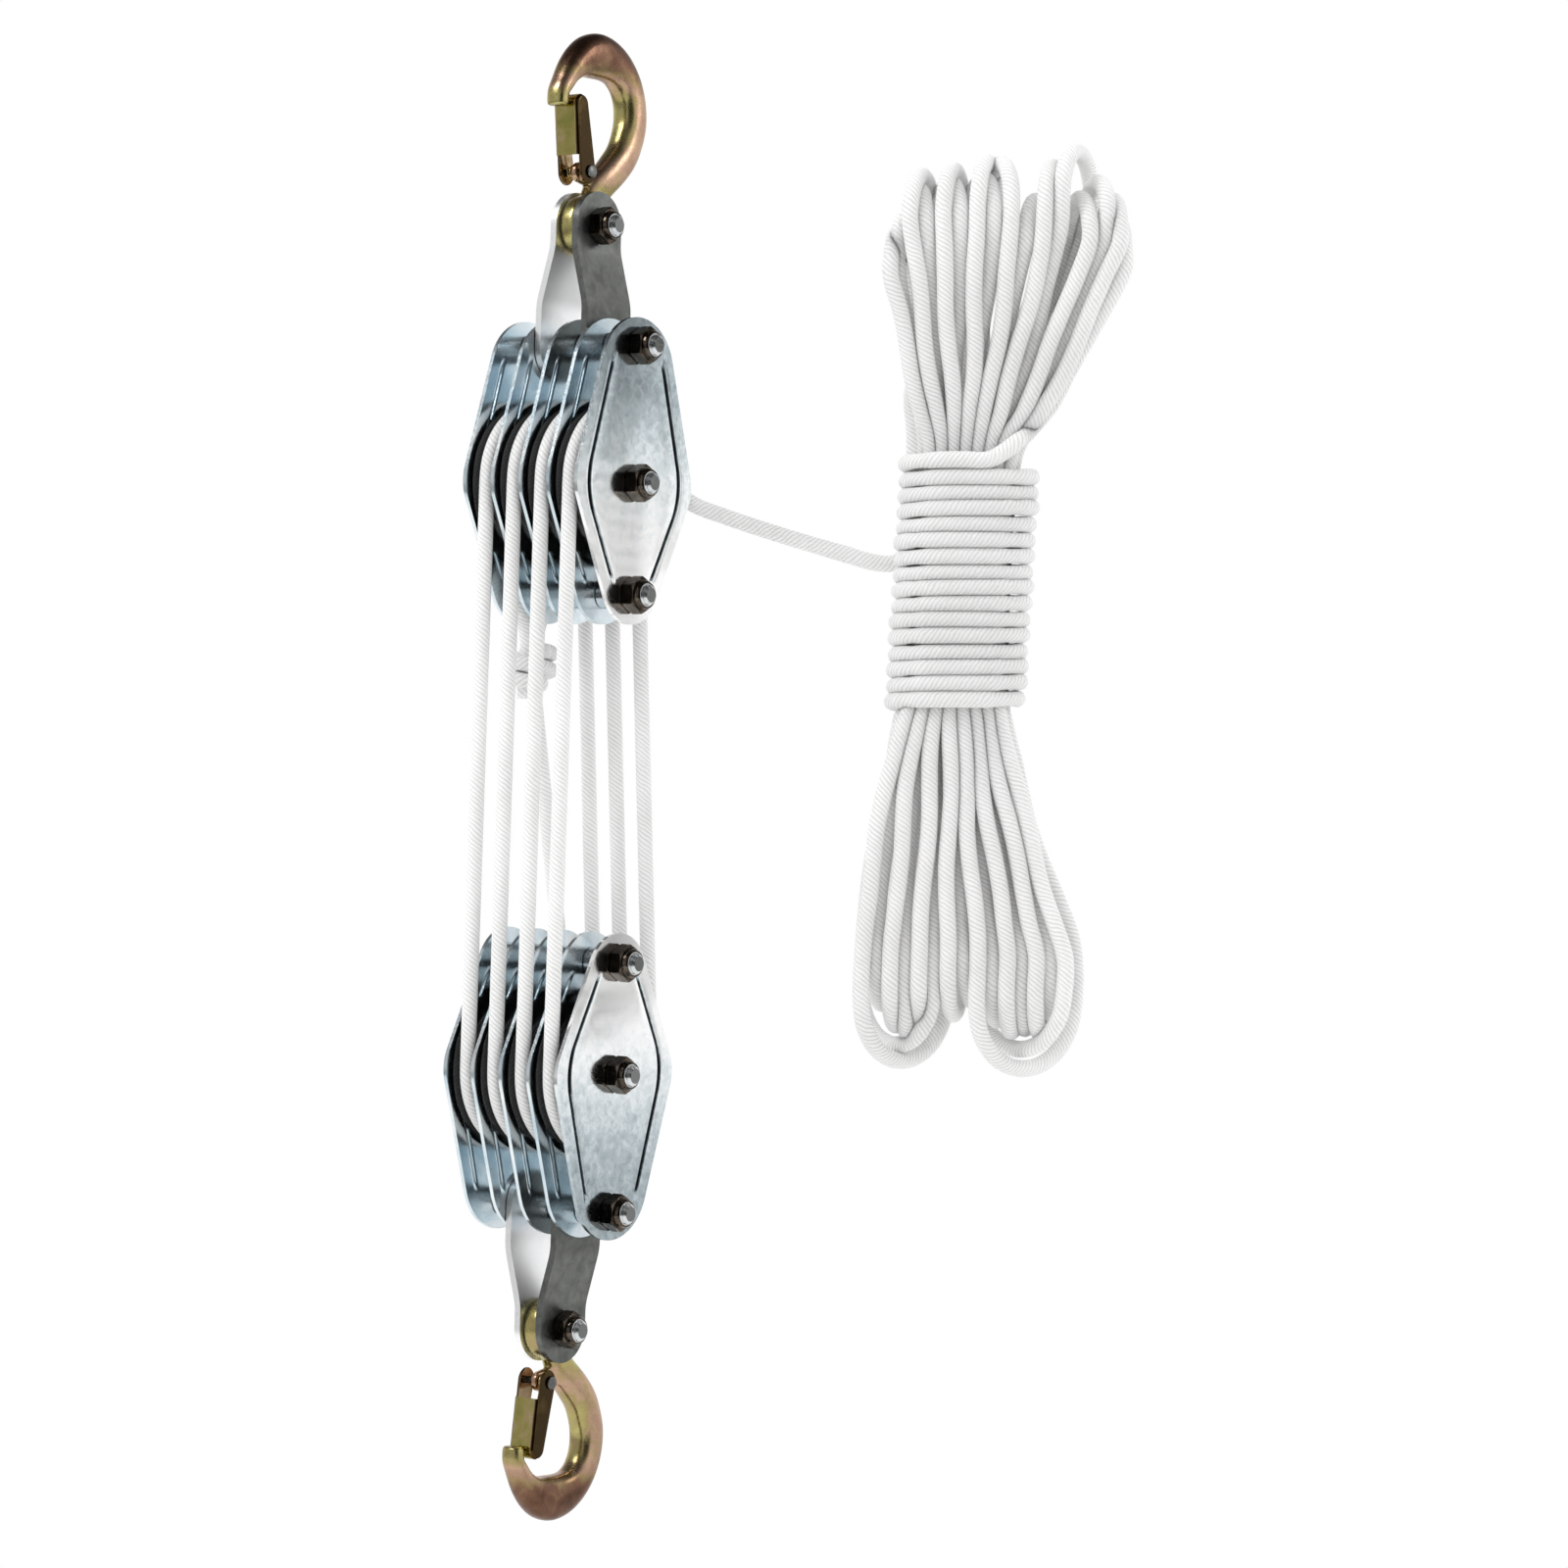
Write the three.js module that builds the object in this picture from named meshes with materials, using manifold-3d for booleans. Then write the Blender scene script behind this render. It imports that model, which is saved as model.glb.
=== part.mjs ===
// Block and tackle: two blocks of four sheaves, an eye hook on each, one rope reeved in eight falls, and the
// hauling end made up into a hank. Millimetres. X runs along the sheave axles, the front plate at +X. Z is up.
// The hooks open towards -Y. The origin is the saddle of the upper hook, which the tackle hangs from.

import * as THREE from 'three';
import { mergeVertices } from 'three/addons/utils/BufferGeometryUtils.js';
import Module from 'manifold-3d';

const wasm = await Module();
wasm.setup();
const { Manifold, Mesh: SolidMesh } = wasm;

// Clearances that several pieces share
const seatGap = 0.3;
const runningGap = 0.3;
const cutOverrun = 2;
const weldStep = 0.0001;
const arcStep = Math.PI / 7;

// Rope
const rope = { diameter: 6, sides: 8, wrapSteps: 7, turnGap: 0.6, rimClear: 18 };
const ropeRadius = rope.diameter / 2;
const ropePitch = rope.diameter + rope.turnGap;

// Sheaves, all alike; the rope's middle lies in the groove
const sheave = { outerRadius: 33, grooveDepth: 3, sideGap: 0.5, lipWidth: 0.5, faceRelief: 0.6, wallLean: 0.26,
  segments: 16 };
const pitchRadius = sheave.outerRadius - sheave.grooveDepth;

// Cheek plates: a long six-sided plate with round corners, the axle at its widest place
const cheek = { count: 5, pitch: 14, sheet: 1.6, sheaveCover: 2.5, cornerRadius: 18, hookEndMargin: 11,
  hookEndRadius: 22, ropeEndMargin: 11.5, ropeEndRadius: 17.5 };
const bay = cheek.pitch - cheek.sheet;
const bayCount = cheek.count - 1;
const middlePlate = bayCount / 2;

// Pressed beads of the plates, two V-shaped lines round the axle
const bead = { radius: 1.6, depth: 0.9, hookEndY: 15.6, hookEndZ: 46, waistY: 27.6, bendRadius: 30,
  ropeEndY: 12.6, ropeEndZ: 36.5, bendSteps: 1, sides: 4 };

// Bolts and lock nuts, all of one thread size
const bolt = { radius: 4, headAcrossFlats: 13, headHeight: 5.3, endReach: 1.8, segments: 8 };
const nut = { acrossFlats: 13, hexHeight: 5.6, collarRadius: 5.7, collarTopRadius: 4.9, height: 8 };
const boltHoleRadius = bolt.radius + seatGap;
const hexSides = 6;
const hexCorner = (acrossFlats) => acrossFlats / 2 / Math.cos(Math.PI / hexSides);

// Places of the bolts in a block, from the rim of the sheaves or from the axle
const hookBoltClear = 20.5;
const ropeBoltClear = 10.5;
const hookBoltZ = sheave.outerRadius + hookBoltClear;
const ropeBoltZ = -(sheave.outerRadius + ropeBoltClear);
const eyeBoltZ = 101;
const sleeveRadius = 5.5;
const bearingRadius = 6;

// Straps between the block and the hook's eye
const strap = { width: 27, sheet: 2.8, eyeHalfGap: 4, upperBend: 9, lowerBend: 31 };

// Eye hook, in its own frame: the eye's centre at the origin, the bowl up, the mouth towards -Y
const eye = { outerRadius: 12.5, width: 7.4, edgeRound: 1.6, segments: 14 };
const hook = { reach: 62.5, bowlRadius: 16.3, bowlOffset: 2.2, depth: 14, thickness: 12, sides: 9 };

// Power of the bar's rounded section: one gives an ellipse, and less gives fuller corners
const hookSectionShare = 0.7142857;

// Latch of the hook; its web lies against the tip, and its end stops a little below the tip's
const pin = { y: -5.5, z: 20.8, radius: 1.5, headRadius: 2.6, headHeight: 1, segments: 8 };
const latch = { width: 12, sheet: 1.2, cornerRadius: 1.6, faceSet: 7.2, tipGap: 0.254914, tipInset: 0.476276,
  earRadius: 5, earSet: 2.2, topRadius: 3.5, windowTop: 6.6 };
const lug = { halfThickness: 1.5, radius: 4 };
const spring = { wireRadius: 0.35, coilRadius: 2.7, pitch: 1.15, coilSteps: 10, curlSteps: 8, sides: 5,
  shankLeg: 4.2, latchLeg: 12, latchLegLean: 3.7 };

// The two axles, the whole reeving between them
const axleSpacing = 230;
const upperAxleZ = -(hook.reach + eyeBoltZ);
const lowerAxleZ = upperAxleZ - axleSpacing;

// Dead end of the rope: an eye round the rope-side sleeve of the rear bay, closed by turns under the plates
const eyeTilt = 0.38;
const deadEnd = { turns: 2, turnSteps: 24, sides: 6, top: 22 };

// Hauling end: where it leaves the last sheave, and its run to the hank in the hank's own frame
const leaveAngle = 0.61;
const tail = { steps: 38, sides: 8, path: [
  [-114.1, 15, 30], [-109.9, 17.5, 25.3], [-104.5, 18.6, 22.5], [-97.2, 19, 20.1], [-85.4, 19.6, 16.5],
  [-67.4, 20.9, 11.5], [-47.4, 22.4, 6.4], [-33, 23.6, 3], [-25.5, 24, 3.6], [-21.2, 24, 8.8], [-20, 24, 17],
  [-20, 24, 40], [-20.3, 23, 52], [-21.5, 19.4, 60],
] };

// Hank, in its own frame: the waist's centre at the origin, X across, Y away from the front, Z up
const hank = { rings: 3, layers: 4, loops: 11, sides: 6, waistHalf: 50, throatTop: 77, throatBottom: 82,
  shoulderTop: 118, shoulderBottom: 145, top: 166.5, bottom: 193.4, topHalf: 51, bottomHalf: 42, innerHalf: 12,
  ringStep: 9.5, endLayerPitch: 10, endShift: 5, endZ: 62 };
const throatShare = 0.27;
const middleShare = 0.68;
const archSteps = 5;
const waist = { turns: 9, pitch: 10, cornerSteps: 5, leadIn: [
  [-22.5, -14.5, 71], [-22.6, -19, 69.2], [-22, -21.3, 63.5], [-20.5, -21.3, 56.5],
  [-17.5, -19.4, 50.2], [-12, -17.2, 46.4],
] };
const hankPlace = { across: 152.4, down: 29 };
const hankTurn = Math.atan2(3, 4);

// Shapes and solids

const tau = Math.PI * 2;
const quarter = Math.PI / 2;

// Triangles that shrink to nothing, as at the poles of a turned piece, are left out
function weld(geometry) {
  const bare = geometry.clone();
  bare.deleteAttribute('normal');
  bare.deleteAttribute('uv');
  const welded = mergeVertices(bare, weldStep);
  const corners = welded.index.array;
  const kept = [];
  for (let i = 0; i < corners.length; i += 3) {
    const [a, b, c] = [corners[i], corners[i + 1], corners[i + 2]];
    if (a !== b && b !== c && c !== a) kept.push(a, b, c);
  }
  welded.setIndex(kept);
  return welded;
}

function solid(geometry) {
  const welded = weld(geometry);
  return new Manifold(new SolidMesh({
    numProp: 3,
    vertProperties: new Float32Array(welded.attributes.position.array),
    triVerts: new Uint32Array(welded.index.array),
  }));
}

function shell(manifold) {
  const mesh = manifold.getMesh();
  const geometry = new THREE.BufferGeometry();
  geometry.setAttribute('position', new THREE.BufferAttribute(mesh.vertProperties, 3));
  geometry.setIndex(new THREE.BufferAttribute(mesh.triVerts, 1));
  return geometry;
}

// Outline round a row of circles [y, z, radius], taken counter-clockwise, as straight tangents and arcs
function roundedOutline(circles) {
  const points = [];
  const tangent = (a, b) => {
    const reach = Math.hypot(b[0] - a[0], b[1] - a[1]);
    return Math.atan2(b[1] - a[1], b[0] - a[0]) - Math.acos((a[2] - b[2]) / reach);
  };
  circles.forEach((circle, i) => {
    const before = circles[(i + circles.length - 1) % circles.length];
    const after = circles[(i + 1) % circles.length];
    const start = tangent(before, circle);
    let end = tangent(circle, after);
    while (end < start) end += tau;
    const steps = Math.max(1, Math.ceil((end - start) / arcStep));
    for (let k = 0; k <= steps; k++) {
      const angle = start + (end - start) * k / steps;
      points.push(new THREE.Vector2(
        circle[0] + circle[2] * Math.cos(angle),
        circle[1] + circle[2] * Math.sin(angle),
      ));
    }
  });
  return points;
}

// Plate in the YZ plane: an outline in (Y, Z), from x = low to x = high
function plateAcrossX(points, low, high) {
  const shape = new THREE.Shape(points);
  const geometry = new THREE.ExtrudeGeometry(shape, { depth: high - low, bevelEnabled: false });
  geometry.applyMatrix4(new THREE.Matrix4().makeBasis(new THREE.Vector3(0, 1, 0), new THREE.Vector3(0, 0, 1),
    new THREE.Vector3(1, 0, 0)));
  geometry.translate(low, 0, 0);
  return geometry;
}

// Turned piece about the X axis, from a closed profile of [x, radius] pairs
function turned(profile, segments) {
  const geometry = new THREE.LatheGeometry(profile.map(([x, r]) => new THREE.Vector2(r, x)), segments);
  geometry.applyMatrix4(new THREE.Matrix4().makeBasis(new THREE.Vector3(0, 1, 0), new THREE.Vector3(1, 0, 0),
    new THREE.Vector3(0, 0, -1)));
  return geometry;
}

function drill(radius, low, high, y, z, segments = bolt.segments) {
  const geometry = new THREE.CylinderGeometry(radius, radius, high - low, segments);
  geometry.rotateZ(quarter);
  geometry.translate((low + high) / 2, y, z);
  return solid(geometry);
}

// Skin over a row of rings with as many points each, closed by flat ends
function skin(rings) {
  const count = rings[0].length;
  const positions = rings.flat().flatMap((p) => [p.x, p.y, p.z]);
  const index = [];
  for (let i = 0; i + 1 < rings.length; i++) {
    for (let k = 0; k < count; k++) {
      const a = i * count + k;
      const b = i * count + (k + 1) % count;
      index.push(a, b, b + count, a, b + count, a + count);
    }
  }
  const last = (rings.length - 1) * count;
  for (let k = 1; k + 1 < count; k++) {
    index.push(0, k + 1, k, last, last + k, last + k + 1);
  }
  const geometry = new THREE.BufferGeometry();
  geometry.setAttribute('position', new THREE.Float32BufferAttribute(positions, 3));
  geometry.setIndex(index);
  return geometry;
}

// Round tube along a row of points, its rings set square to the path without twist
function tube(points, radius, sides) {
  const tangents = points.map((p, i) => {
    const before = points[Math.max(0, i - 1)];
    const after = points[Math.min(points.length - 1, i + 1)];
    const into = p.clone().sub(before).normalize();
    const out = after.clone().sub(p).normalize();
    return into.add(out).normalize();
  });
  const helper = Math.abs(tangents[0].x) < 0.9 ? new THREE.Vector3(1, 0, 0) : new THREE.Vector3(0, 1, 0);
  let normal = helper.cross(tangents[0]).normalize();
  const turn = new THREE.Quaternion();
  const rings = points.map((p, i) => {
    if (i > 0) {
      turn.setFromUnitVectors(tangents[i - 1], tangents[i]);
      normal = normal.clone().applyQuaternion(turn);
    }
    const side = new THREE.Vector3().crossVectors(tangents[i], normal);
    return Array.from({ length: sides }, (_, k) => {
      const angle = k * tau / sides;
      return p.clone()
        .addScaledVector(normal, radius * Math.cos(angle))
        .addScaledVector(side, radius * Math.sin(angle));
    });
  });
  return skin(rings);
}

// Least distance between the surfaces of a tube that passes itself, on points at most one radius apart and
// leaving out each point's next steps along the tube
const nextSteps = 6;

function leastGap(points, radius) {
  const fine = [];
  for (let i = 0; i + 1 < points.length; i++) {
    const pieces = Math.ceil(points[i].distanceTo(points[i + 1]) / radius);
    for (let k = 0; k < pieces; k++) fine.push(points[i].clone().lerp(points[i + 1], k / pieces));
  }
  let least = Infinity;
  for (let i = 0; i < fine.length; i++) {
    for (let j = i + nextSteps; j < fine.length; j++) least = Math.min(least, fine[i].distanceTo(fine[j]));
  }
  return least - 2 * radius;
}

// Tube that lies in loops or turns, with its least gap printed
function woundTube(name, points, radius, sides) {
  console.log(`${name}: least gap to itself ${leastGap(points, radius).toFixed(2)} mm`);
  return tube(points, radius, sides);
}

// Finishes

const finish = {
  zinc: new THREE.MeshStandardMaterial({ color: 0xc4ccce, roughness: 0.25, metalness: 1 }),
  darkStrap: new THREE.MeshStandardMaterial({ color: 0x8e9294, roughness: 0.35, metalness: 1 }),
  yellowZinc: new THREE.MeshStandardMaterial({ color: 0x8f6f52, roughness: 0.38, metalness: 1 }),
  yellowLatch: new THREE.MeshStandardMaterial({ color: 0x8a8350, roughness: 0.32, metalness: 1 }),
  springSteel: new THREE.MeshStandardMaterial({ color: 0xb9a860, roughness: 0.3, metalness: 1 }),
  blackNut: new THREE.MeshStandardMaterial({ color: 0x2b2724, roughness: 0.25, metalness: 1 }),
  boltSteel: new THREE.MeshStandardMaterial({ color: 0xaab0b3, roughness: 0.25, metalness: 1 }),
  blackSheave: new THREE.MeshStandardMaterial({ color: 0x141516, roughness: 0.4, metalness: 0.6 }),
  rope: new THREE.MeshStandardMaterial({ color: 0xd6d5d3, roughness: 0.8, metalness: 0 }),
};

function piece(name, geometry, material) {
  const mesh = new THREE.Mesh(geometry, material);
  mesh.name = name;
  return mesh;
}

// Cheek plate

const plateX = (i) => (i - (cheek.count - 1) / 2) * cheek.pitch;
const bayX = (i) => plateX(i) + cheek.pitch / 2;
const outerFace = plateX(cheek.count - 1) + cheek.sheet / 2;

function cheekOutline() {
  const cornerY = sheave.outerRadius + cheek.sheaveCover - cheek.cornerRadius;
  return roundedOutline([
    [cornerY, 0, cheek.cornerRadius],
    [0, hookBoltZ + cheek.hookEndMargin - cheek.hookEndRadius, cheek.hookEndRadius],
    [-cornerY, 0, cheek.cornerRadius],
    [0, ropeBoltZ - cheek.ropeEndMargin + cheek.ropeEndRadius, cheek.ropeEndRadius],
  ]);
}

// Line of one bead: from the hook end, round the axle's height, to the rope end
function beadLine(side, x) {
  const line = [new THREE.Vector3(x, side * bead.hookEndY, bead.hookEndZ)];
  const slopeUp = Math.atan2(bead.waistY - bead.hookEndY, bead.hookEndZ);
  const slopeDown = Math.atan2(bead.waistY - bead.ropeEndY, bead.ropeEndZ);
  const centreY = bead.waistY - bead.bendRadius;
  for (let k = 0; k <= bead.bendSteps; k++) {
    const angle = slopeUp - (slopeUp + slopeDown) * k / bead.bendSteps;
    line.push(new THREE.Vector3(x, side * (centreY + bead.bendRadius * Math.cos(angle)),
      bead.bendRadius * Math.sin(angle)));
  }
  line.push(new THREE.Vector3(x, side * bead.ropeEndY, -bead.ropeEndZ));
  return line;
}

function cheekPlate() {
  const half = cheek.sheet / 2;
  const outline = cheekOutline();
  const behind = solid(plateAcrossX(outline, -half - bead.radius, 0));
  const shift = bead.radius - bead.depth;
  let plate = solid(plateAcrossX(outline, -half, half));
  for (const side of [-1, 1]) {
    plate = plate.add(solid(tube(beadLine(side, shift - half), bead.radius, bead.sides)).intersect(behind));
    plate = plate.subtract(solid(tube(beadLine(side, shift + half), bead.radius, bead.sides)));
  }
  for (const z of [hookBoltZ, 0, ropeBoltZ]) {
    plate = plate.subtract(drill(boltHoleRadius, -half - cutOverrun, half + cutOverrun, 0, z));
  }
  return shell(plate);
}

// Sheave with its rope groove, its faces thinner towards the rim

function sheaveWheel() {
  const half = bay / 2 - sheave.sideGap;
  const grooveRadius = ropeRadius + seatGap;
  const rim = half - sheave.faceRelief;
  const side = [
    [half, bearingRadius + runningGap],
    [rim, sheave.outerRadius],
    [rim - sheave.lipWidth, sheave.outerRadius],
    [grooveRadius * Math.cos(sheave.wallLean), pitchRadius - grooveRadius * Math.sin(sheave.wallLean)],
    [grooveRadius * Math.tan(Math.PI / 8), pitchRadius - grooveRadius],
  ];
  const mirrored = side.map(([x, r]) => [-x, r]).reverse();
  return turned([...side, ...mirrored, side[0]].reverse(), sheave.segments);
}

// Bolts: a hexagon head behind, the shank through the stack with thicker sleeves in the bays, and its end

function shaft(headFace, end, sleeves) {
  const profile = [[headFace, 0], [headFace, bolt.radius]];
  for (const [low, high, radius] of sleeves) {
    profile.push([low, bolt.radius], [low, radius], [high, radius], [high, bolt.radius]);
  }
  profile.push([end, bolt.radius], [end, 0]);
  const corner = hexCorner(bolt.headAcrossFlats);
  const head = new THREE.CylinderGeometry(corner, corner, bolt.headHeight, hexSides);
  head.rotateZ(quarter);
  head.translate(headFace - bolt.headHeight / 2, 0, 0);
  const middle = headFace - bolt.headHeight / 2;
  const overlap = [[middle, 0], [middle, bolt.radius], ...profile.slice(2)];
  return shell(solid(turned(overlap, bolt.segments)).add(solid(head)));
}

const fullSleeves = (radius) => Array.from({ length: bayCount }, (_, i) => [
  bayX(i) - bay / 2 + seatGap, bayX(i) + bay / 2 - seatGap, radius]);

// Beside the middle plate the sleeves are shorter, because the straps share those bays
function hookBoltSleeves() {
  const room = strap.sheet + 2 * seatGap;
  return fullSleeves(sleeveRadius).map(([low, high, radius], i) => {
    if (i === 1) return [low + room - seatGap, high, radius];
    if (i === 2) return [low, high - room + seatGap, radius];
    return [low, high, radius];
  });
}

const nutFace = outerFace + seatGap;
const crossBoltEnd = nutFace + nut.height + bolt.endReach;
const eyeNutFace = strap.eyeHalfGap + strap.sheet + seatGap;

function lockNut() {
  const corner = hexCorner(nut.acrossFlats);
  const hex = new THREE.CylinderGeometry(corner, corner, nut.hexHeight, hexSides);
  hex.rotateZ(quarter);
  hex.translate(nut.hexHeight / 2, 0, 0);
  const chamfer = turned([
    [nut.hexHeight / 2, 0],
    [nut.hexHeight / 2, nut.collarRadius],
    [nut.hexHeight, nut.collarRadius],
    [nut.height, nut.collarTopRadius],
    [nut.height, 0],
  ], bolt.segments);
  return shell(solid(hex).add(solid(chamfer))
    .subtract(drill(boltHoleRadius, -cutOverrun, nut.height + cutOverrun, 0, 0)));
}

// Straps: a bar bent in from the block's bay to the hook's eye, both ends rounded

function strapBar(side) {
  const inner = strap.eyeHalfGap;
  const blockFace = plateX(middlePlate + 1) - cheek.sheet / 2 - seatGap;
  const shift = blockFace - strap.sheet - inner;
  const top = eyeBoltZ + strap.width / 2;
  const bottom = hookBoltZ - strap.width / 2;
  const upper = eyeBoltZ - strap.upperBend;
  const lower = eyeBoltZ - strap.lowerBend;
  const drop = strap.sheet * Math.tan(Math.atan2(shift, upper - lower) / 2);
  const section = [
    [inner, top], [inner, upper], [inner + shift, lower], [inner + shift, bottom],
    [blockFace, bottom], [blockFace, lower + drop],
    [inner + strap.sheet, upper + drop], [inner + strap.sheet, top],
  ].map(([x, z]) => new THREE.Vector2(side * x, z));
  const bar = new THREE.ExtrudeGeometry(new THREE.Shape(section), { depth: strap.width, bevelEnabled: false });
  bar.rotateX(quarter);
  bar.translate(0, strap.width / 2, 0);
  const reach = inner + shift + strap.sheet + cutOverrun;
  const outline = roundedOutline([
    [0, eyeBoltZ, strap.width / 2],
    [0, hookBoltZ, strap.width / 2],
  ]);
  return shell(solid(bar).intersect(solid(plateAcrossX(outline, -reach, reach)))
    .subtract(drill(boltHoleRadius, -reach, reach, 0, eyeBoltZ))
    .subtract(drill(boltHoleRadius, -reach, reach, 0, hookBoltZ)));
}

// Hook: a tapering bar swept round the bowl, a flat eye and a thin lug for the latch

const bowl = { y: hook.bowlOffset, z: hook.reach - hook.bowlRadius };

// Round the bowl from the back to the tip: angle, inner radius, depth and thickness, all but the angle as shares
const bowlShares = [
  [-26, 1, 1, 0.95],
  [-8, 1, 1, 1],
  [12, 1, 0.98, 1],
  [32, 1, 0.98, 1],
  [52, 1, 1, 1],
  [70, 1, 1.02, 1],
  [88, 1, 1.02, 1],
  [104, 1, 0.96, 0.96],
  [119, 0.98, 0.84, 0.88],
  [133, 0.95, 0.7, 0.76],
  [146, 0.97, 0.57, 0.64],
  [158, 1.04, 0.49, 0.55],
  [169, 1.15, 0.43, 0.48],
];

// Shank from the eye to the bowl: place along Y and Z as shares of the reach, then depth and thickness shares
const shankShares = [
  [0, 0.09, 0.72, 0.5],
  [0.055, 0.19, 0.86, 0.6],
  [0.135, 0.29, 0.95, 0.8],
  [0.235, 0.385, 1, 0.9],
  [0.32, 0.48, 1, 0.94],
];

function hookRing(centre, out, depth, thickness) {
  return Array.from({ length: hook.sides }, (_, k) => {
    const angle = (k + 0.5) * tau / hook.sides;
    const c = Math.sign(Math.cos(angle)) * Math.abs(Math.cos(angle)) ** hookSectionShare;
    const s = Math.sign(Math.sin(angle)) * Math.abs(Math.sin(angle)) ** hookSectionShare;
    return centre.clone().addScaledVector(out, c * depth / 2).add(new THREE.Vector3(-s * thickness / 2, 0, 0));
  });
}

function hookBody() {
  const stations = shankShares.map(([y, z, depth, thickness]) => ({
    centre: new THREE.Vector3(0, y * hook.reach, z * hook.reach),
    depth: depth * hook.depth,
    thickness: thickness * hook.thickness,
  }));
  for (const [degrees, inner, depth, thickness] of bowlShares) {
    const angle = degrees * Math.PI / 180;
    const radius = inner * hook.bowlRadius + depth * hook.depth / 2;
    stations.push({
      centre: new THREE.Vector3(0, bowl.y + radius * Math.cos(angle), bowl.z + radius * Math.sin(angle)),
      depth: depth * hook.depth,
      thickness: thickness * hook.thickness,
    });
  }
  const rings = stations.map(({ centre, depth, thickness }, i) => {
    const before = stations[Math.max(0, i - 1)].centre;
    const after = stations[Math.min(stations.length - 1, i + 1)].centre;
    const along = after.clone().sub(before).normalize();
    const out = new THREE.Vector3(0, along.z, -along.y);
    return hookRing(centre, out, depth, thickness);
  });
  return skin(rings);
}

function eyeRing() {
  const half = eye.width / 2;
  const profile = [
    [-half, boltHoleRadius],
    [-half, eye.outerRadius - eye.edgeRound],
    [eye.edgeRound - half, eye.outerRadius],
    [half - eye.edgeRound, eye.outerRadius],
    [half, eye.outerRadius - eye.edgeRound],
    [half, boltHoleRadius],
    [-half, boltHoleRadius],
  ];
  return turned(profile, eye.segments);
}

function latchLug() {
  const root = new THREE.Vector2(shankShares[2][0], shankShares[2][1]).multiplyScalar(hook.reach);
  return plateAcrossX(roundedOutline([
    [pin.y, pin.z, lug.radius],
    [root.x, root.y, lug.radius],
  ]), -lug.halfThickness, lug.halfThickness);
}

function hookForging() {
  const half = hook.thickness / 2 + cutOverrun;
  const clearEye = drill(boltHoleRadius, -half, half, 0, 0, eye.segments);
  const clearPin = drill(pin.radius + seatGap, -half, half, pin.y, pin.z, pin.segments);
  const forging = solid(hookBody()).add(solid(eyeRing())).add(solid(latchLug()));
  return shell(forging.subtract(clearEye).subtract(clearPin));
}

// Where the latch meets the tip: the inner side of the bowl's last station, from the latch pin
const [tipDegrees, tipInnerShare] = bowlShares[bowlShares.length - 1];
const tipAngle = tipDegrees * Math.PI / 180;
const tipY = bowl.y + tipInnerShare * hook.bowlRadius * Math.cos(tipAngle) - pin.y;
const tipZ = bowl.z + tipInnerShare * hook.bowlRadius * Math.sin(tipAngle) - pin.z;
const tipReach = Math.hypot(tipY, tipZ);
const faceTurn = Math.asin((latch.faceSet + latch.tipGap) / tipReach);
const latchLean = Math.atan2(-tipY, tipZ) - faceTurn;
const latchLength = tipReach * Math.cos(faceTurn) - latch.tipInset;

// Latch: a channel of sheet metal, its ears on the pin, its web against the tip and cut away below

function latchChannel() {
  const half = latch.width / 2;
  const inner = half - latch.sheet;
  const front = -latch.faceSet;
  const back = latch.earRadius - latch.earSet + cutOverrun;
  const low = -latch.earRadius - cutOverrun;
  const round = latch.cornerRadius;
  const bevel = round * (1 - Math.SQRT1_2);
  const section = [
    [-half, back], [-half, front + round], [-half + bevel, front + bevel], [-half + round, front],
    [half - round, front], [half - bevel, front + bevel], [half, front + round], [half, back],
    [inner, back], [inner, front + latch.sheet], [-inner, front + latch.sheet], [-inner, back],
  ].map(([x, y]) => new THREE.Vector2(x, y));
  const channel = new THREE.ExtrudeGeometry(new THREE.Shape(section), { depth: latchLength + cutOverrun - low,
    bevelEnabled: false });
  channel.translate(0, 0, low);
  const side = roundedOutline([
    [-latch.earSet, 0, latch.earRadius],
    [latch.topRadius - latch.faceSet, latchLength - latch.topRadius, latch.topRadius],
  ]);
  const window = new THREE.BoxGeometry(2 * inner, 2 * latch.sheet + cutOverrun, latch.windowTop - low);
  window.translate(0, front, (latch.windowTop + low) / 2);
  return shell(solid(channel)
    .intersect(solid(plateAcrossX(side, -latch.width, latch.width)))
    .subtract(solid(window))
    .subtract(drill(pin.radius + seatGap, -latch.width, latch.width, 0, 0, pin.segments)));
}

function latchPin() {
  const face = latch.width / 2 + seatGap;
  const end = face + pin.headHeight;
  const profile = [
    [-end, 0], [-end, pin.headRadius], [-face, pin.headRadius], [-face, pin.radius],
    [face, pin.radius], [face, pin.headRadius], [end, pin.headRadius], [end, 0],
  ];
  return turned(profile, pin.segments);
}

// Spring on the pin beside the lug: a leg at the shank, the curls, a leg behind the latch's face
function springPoints() {
  const start = -(lug.halfThickness + seatGap + spring.wireRadius);
  const curl = Array.from({ length: spring.coilSteps + 1 }, (_, k) => {
    const angle = -quarter - k * tau / spring.curlSteps;
    return new THREE.Vector3(start - spring.pitch * k / spring.curlSteps, spring.coilRadius * Math.cos(angle),
      spring.coilRadius * Math.sin(angle));
  });
  const first = curl[0].clone().add(new THREE.Vector3(0, spring.shankLeg, 0));
  const last = curl[spring.coilSteps].clone().add(new THREE.Vector3(0, -spring.latchLegLean, spring.latchLeg));
  return [first, ...curl, last];
}

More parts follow.
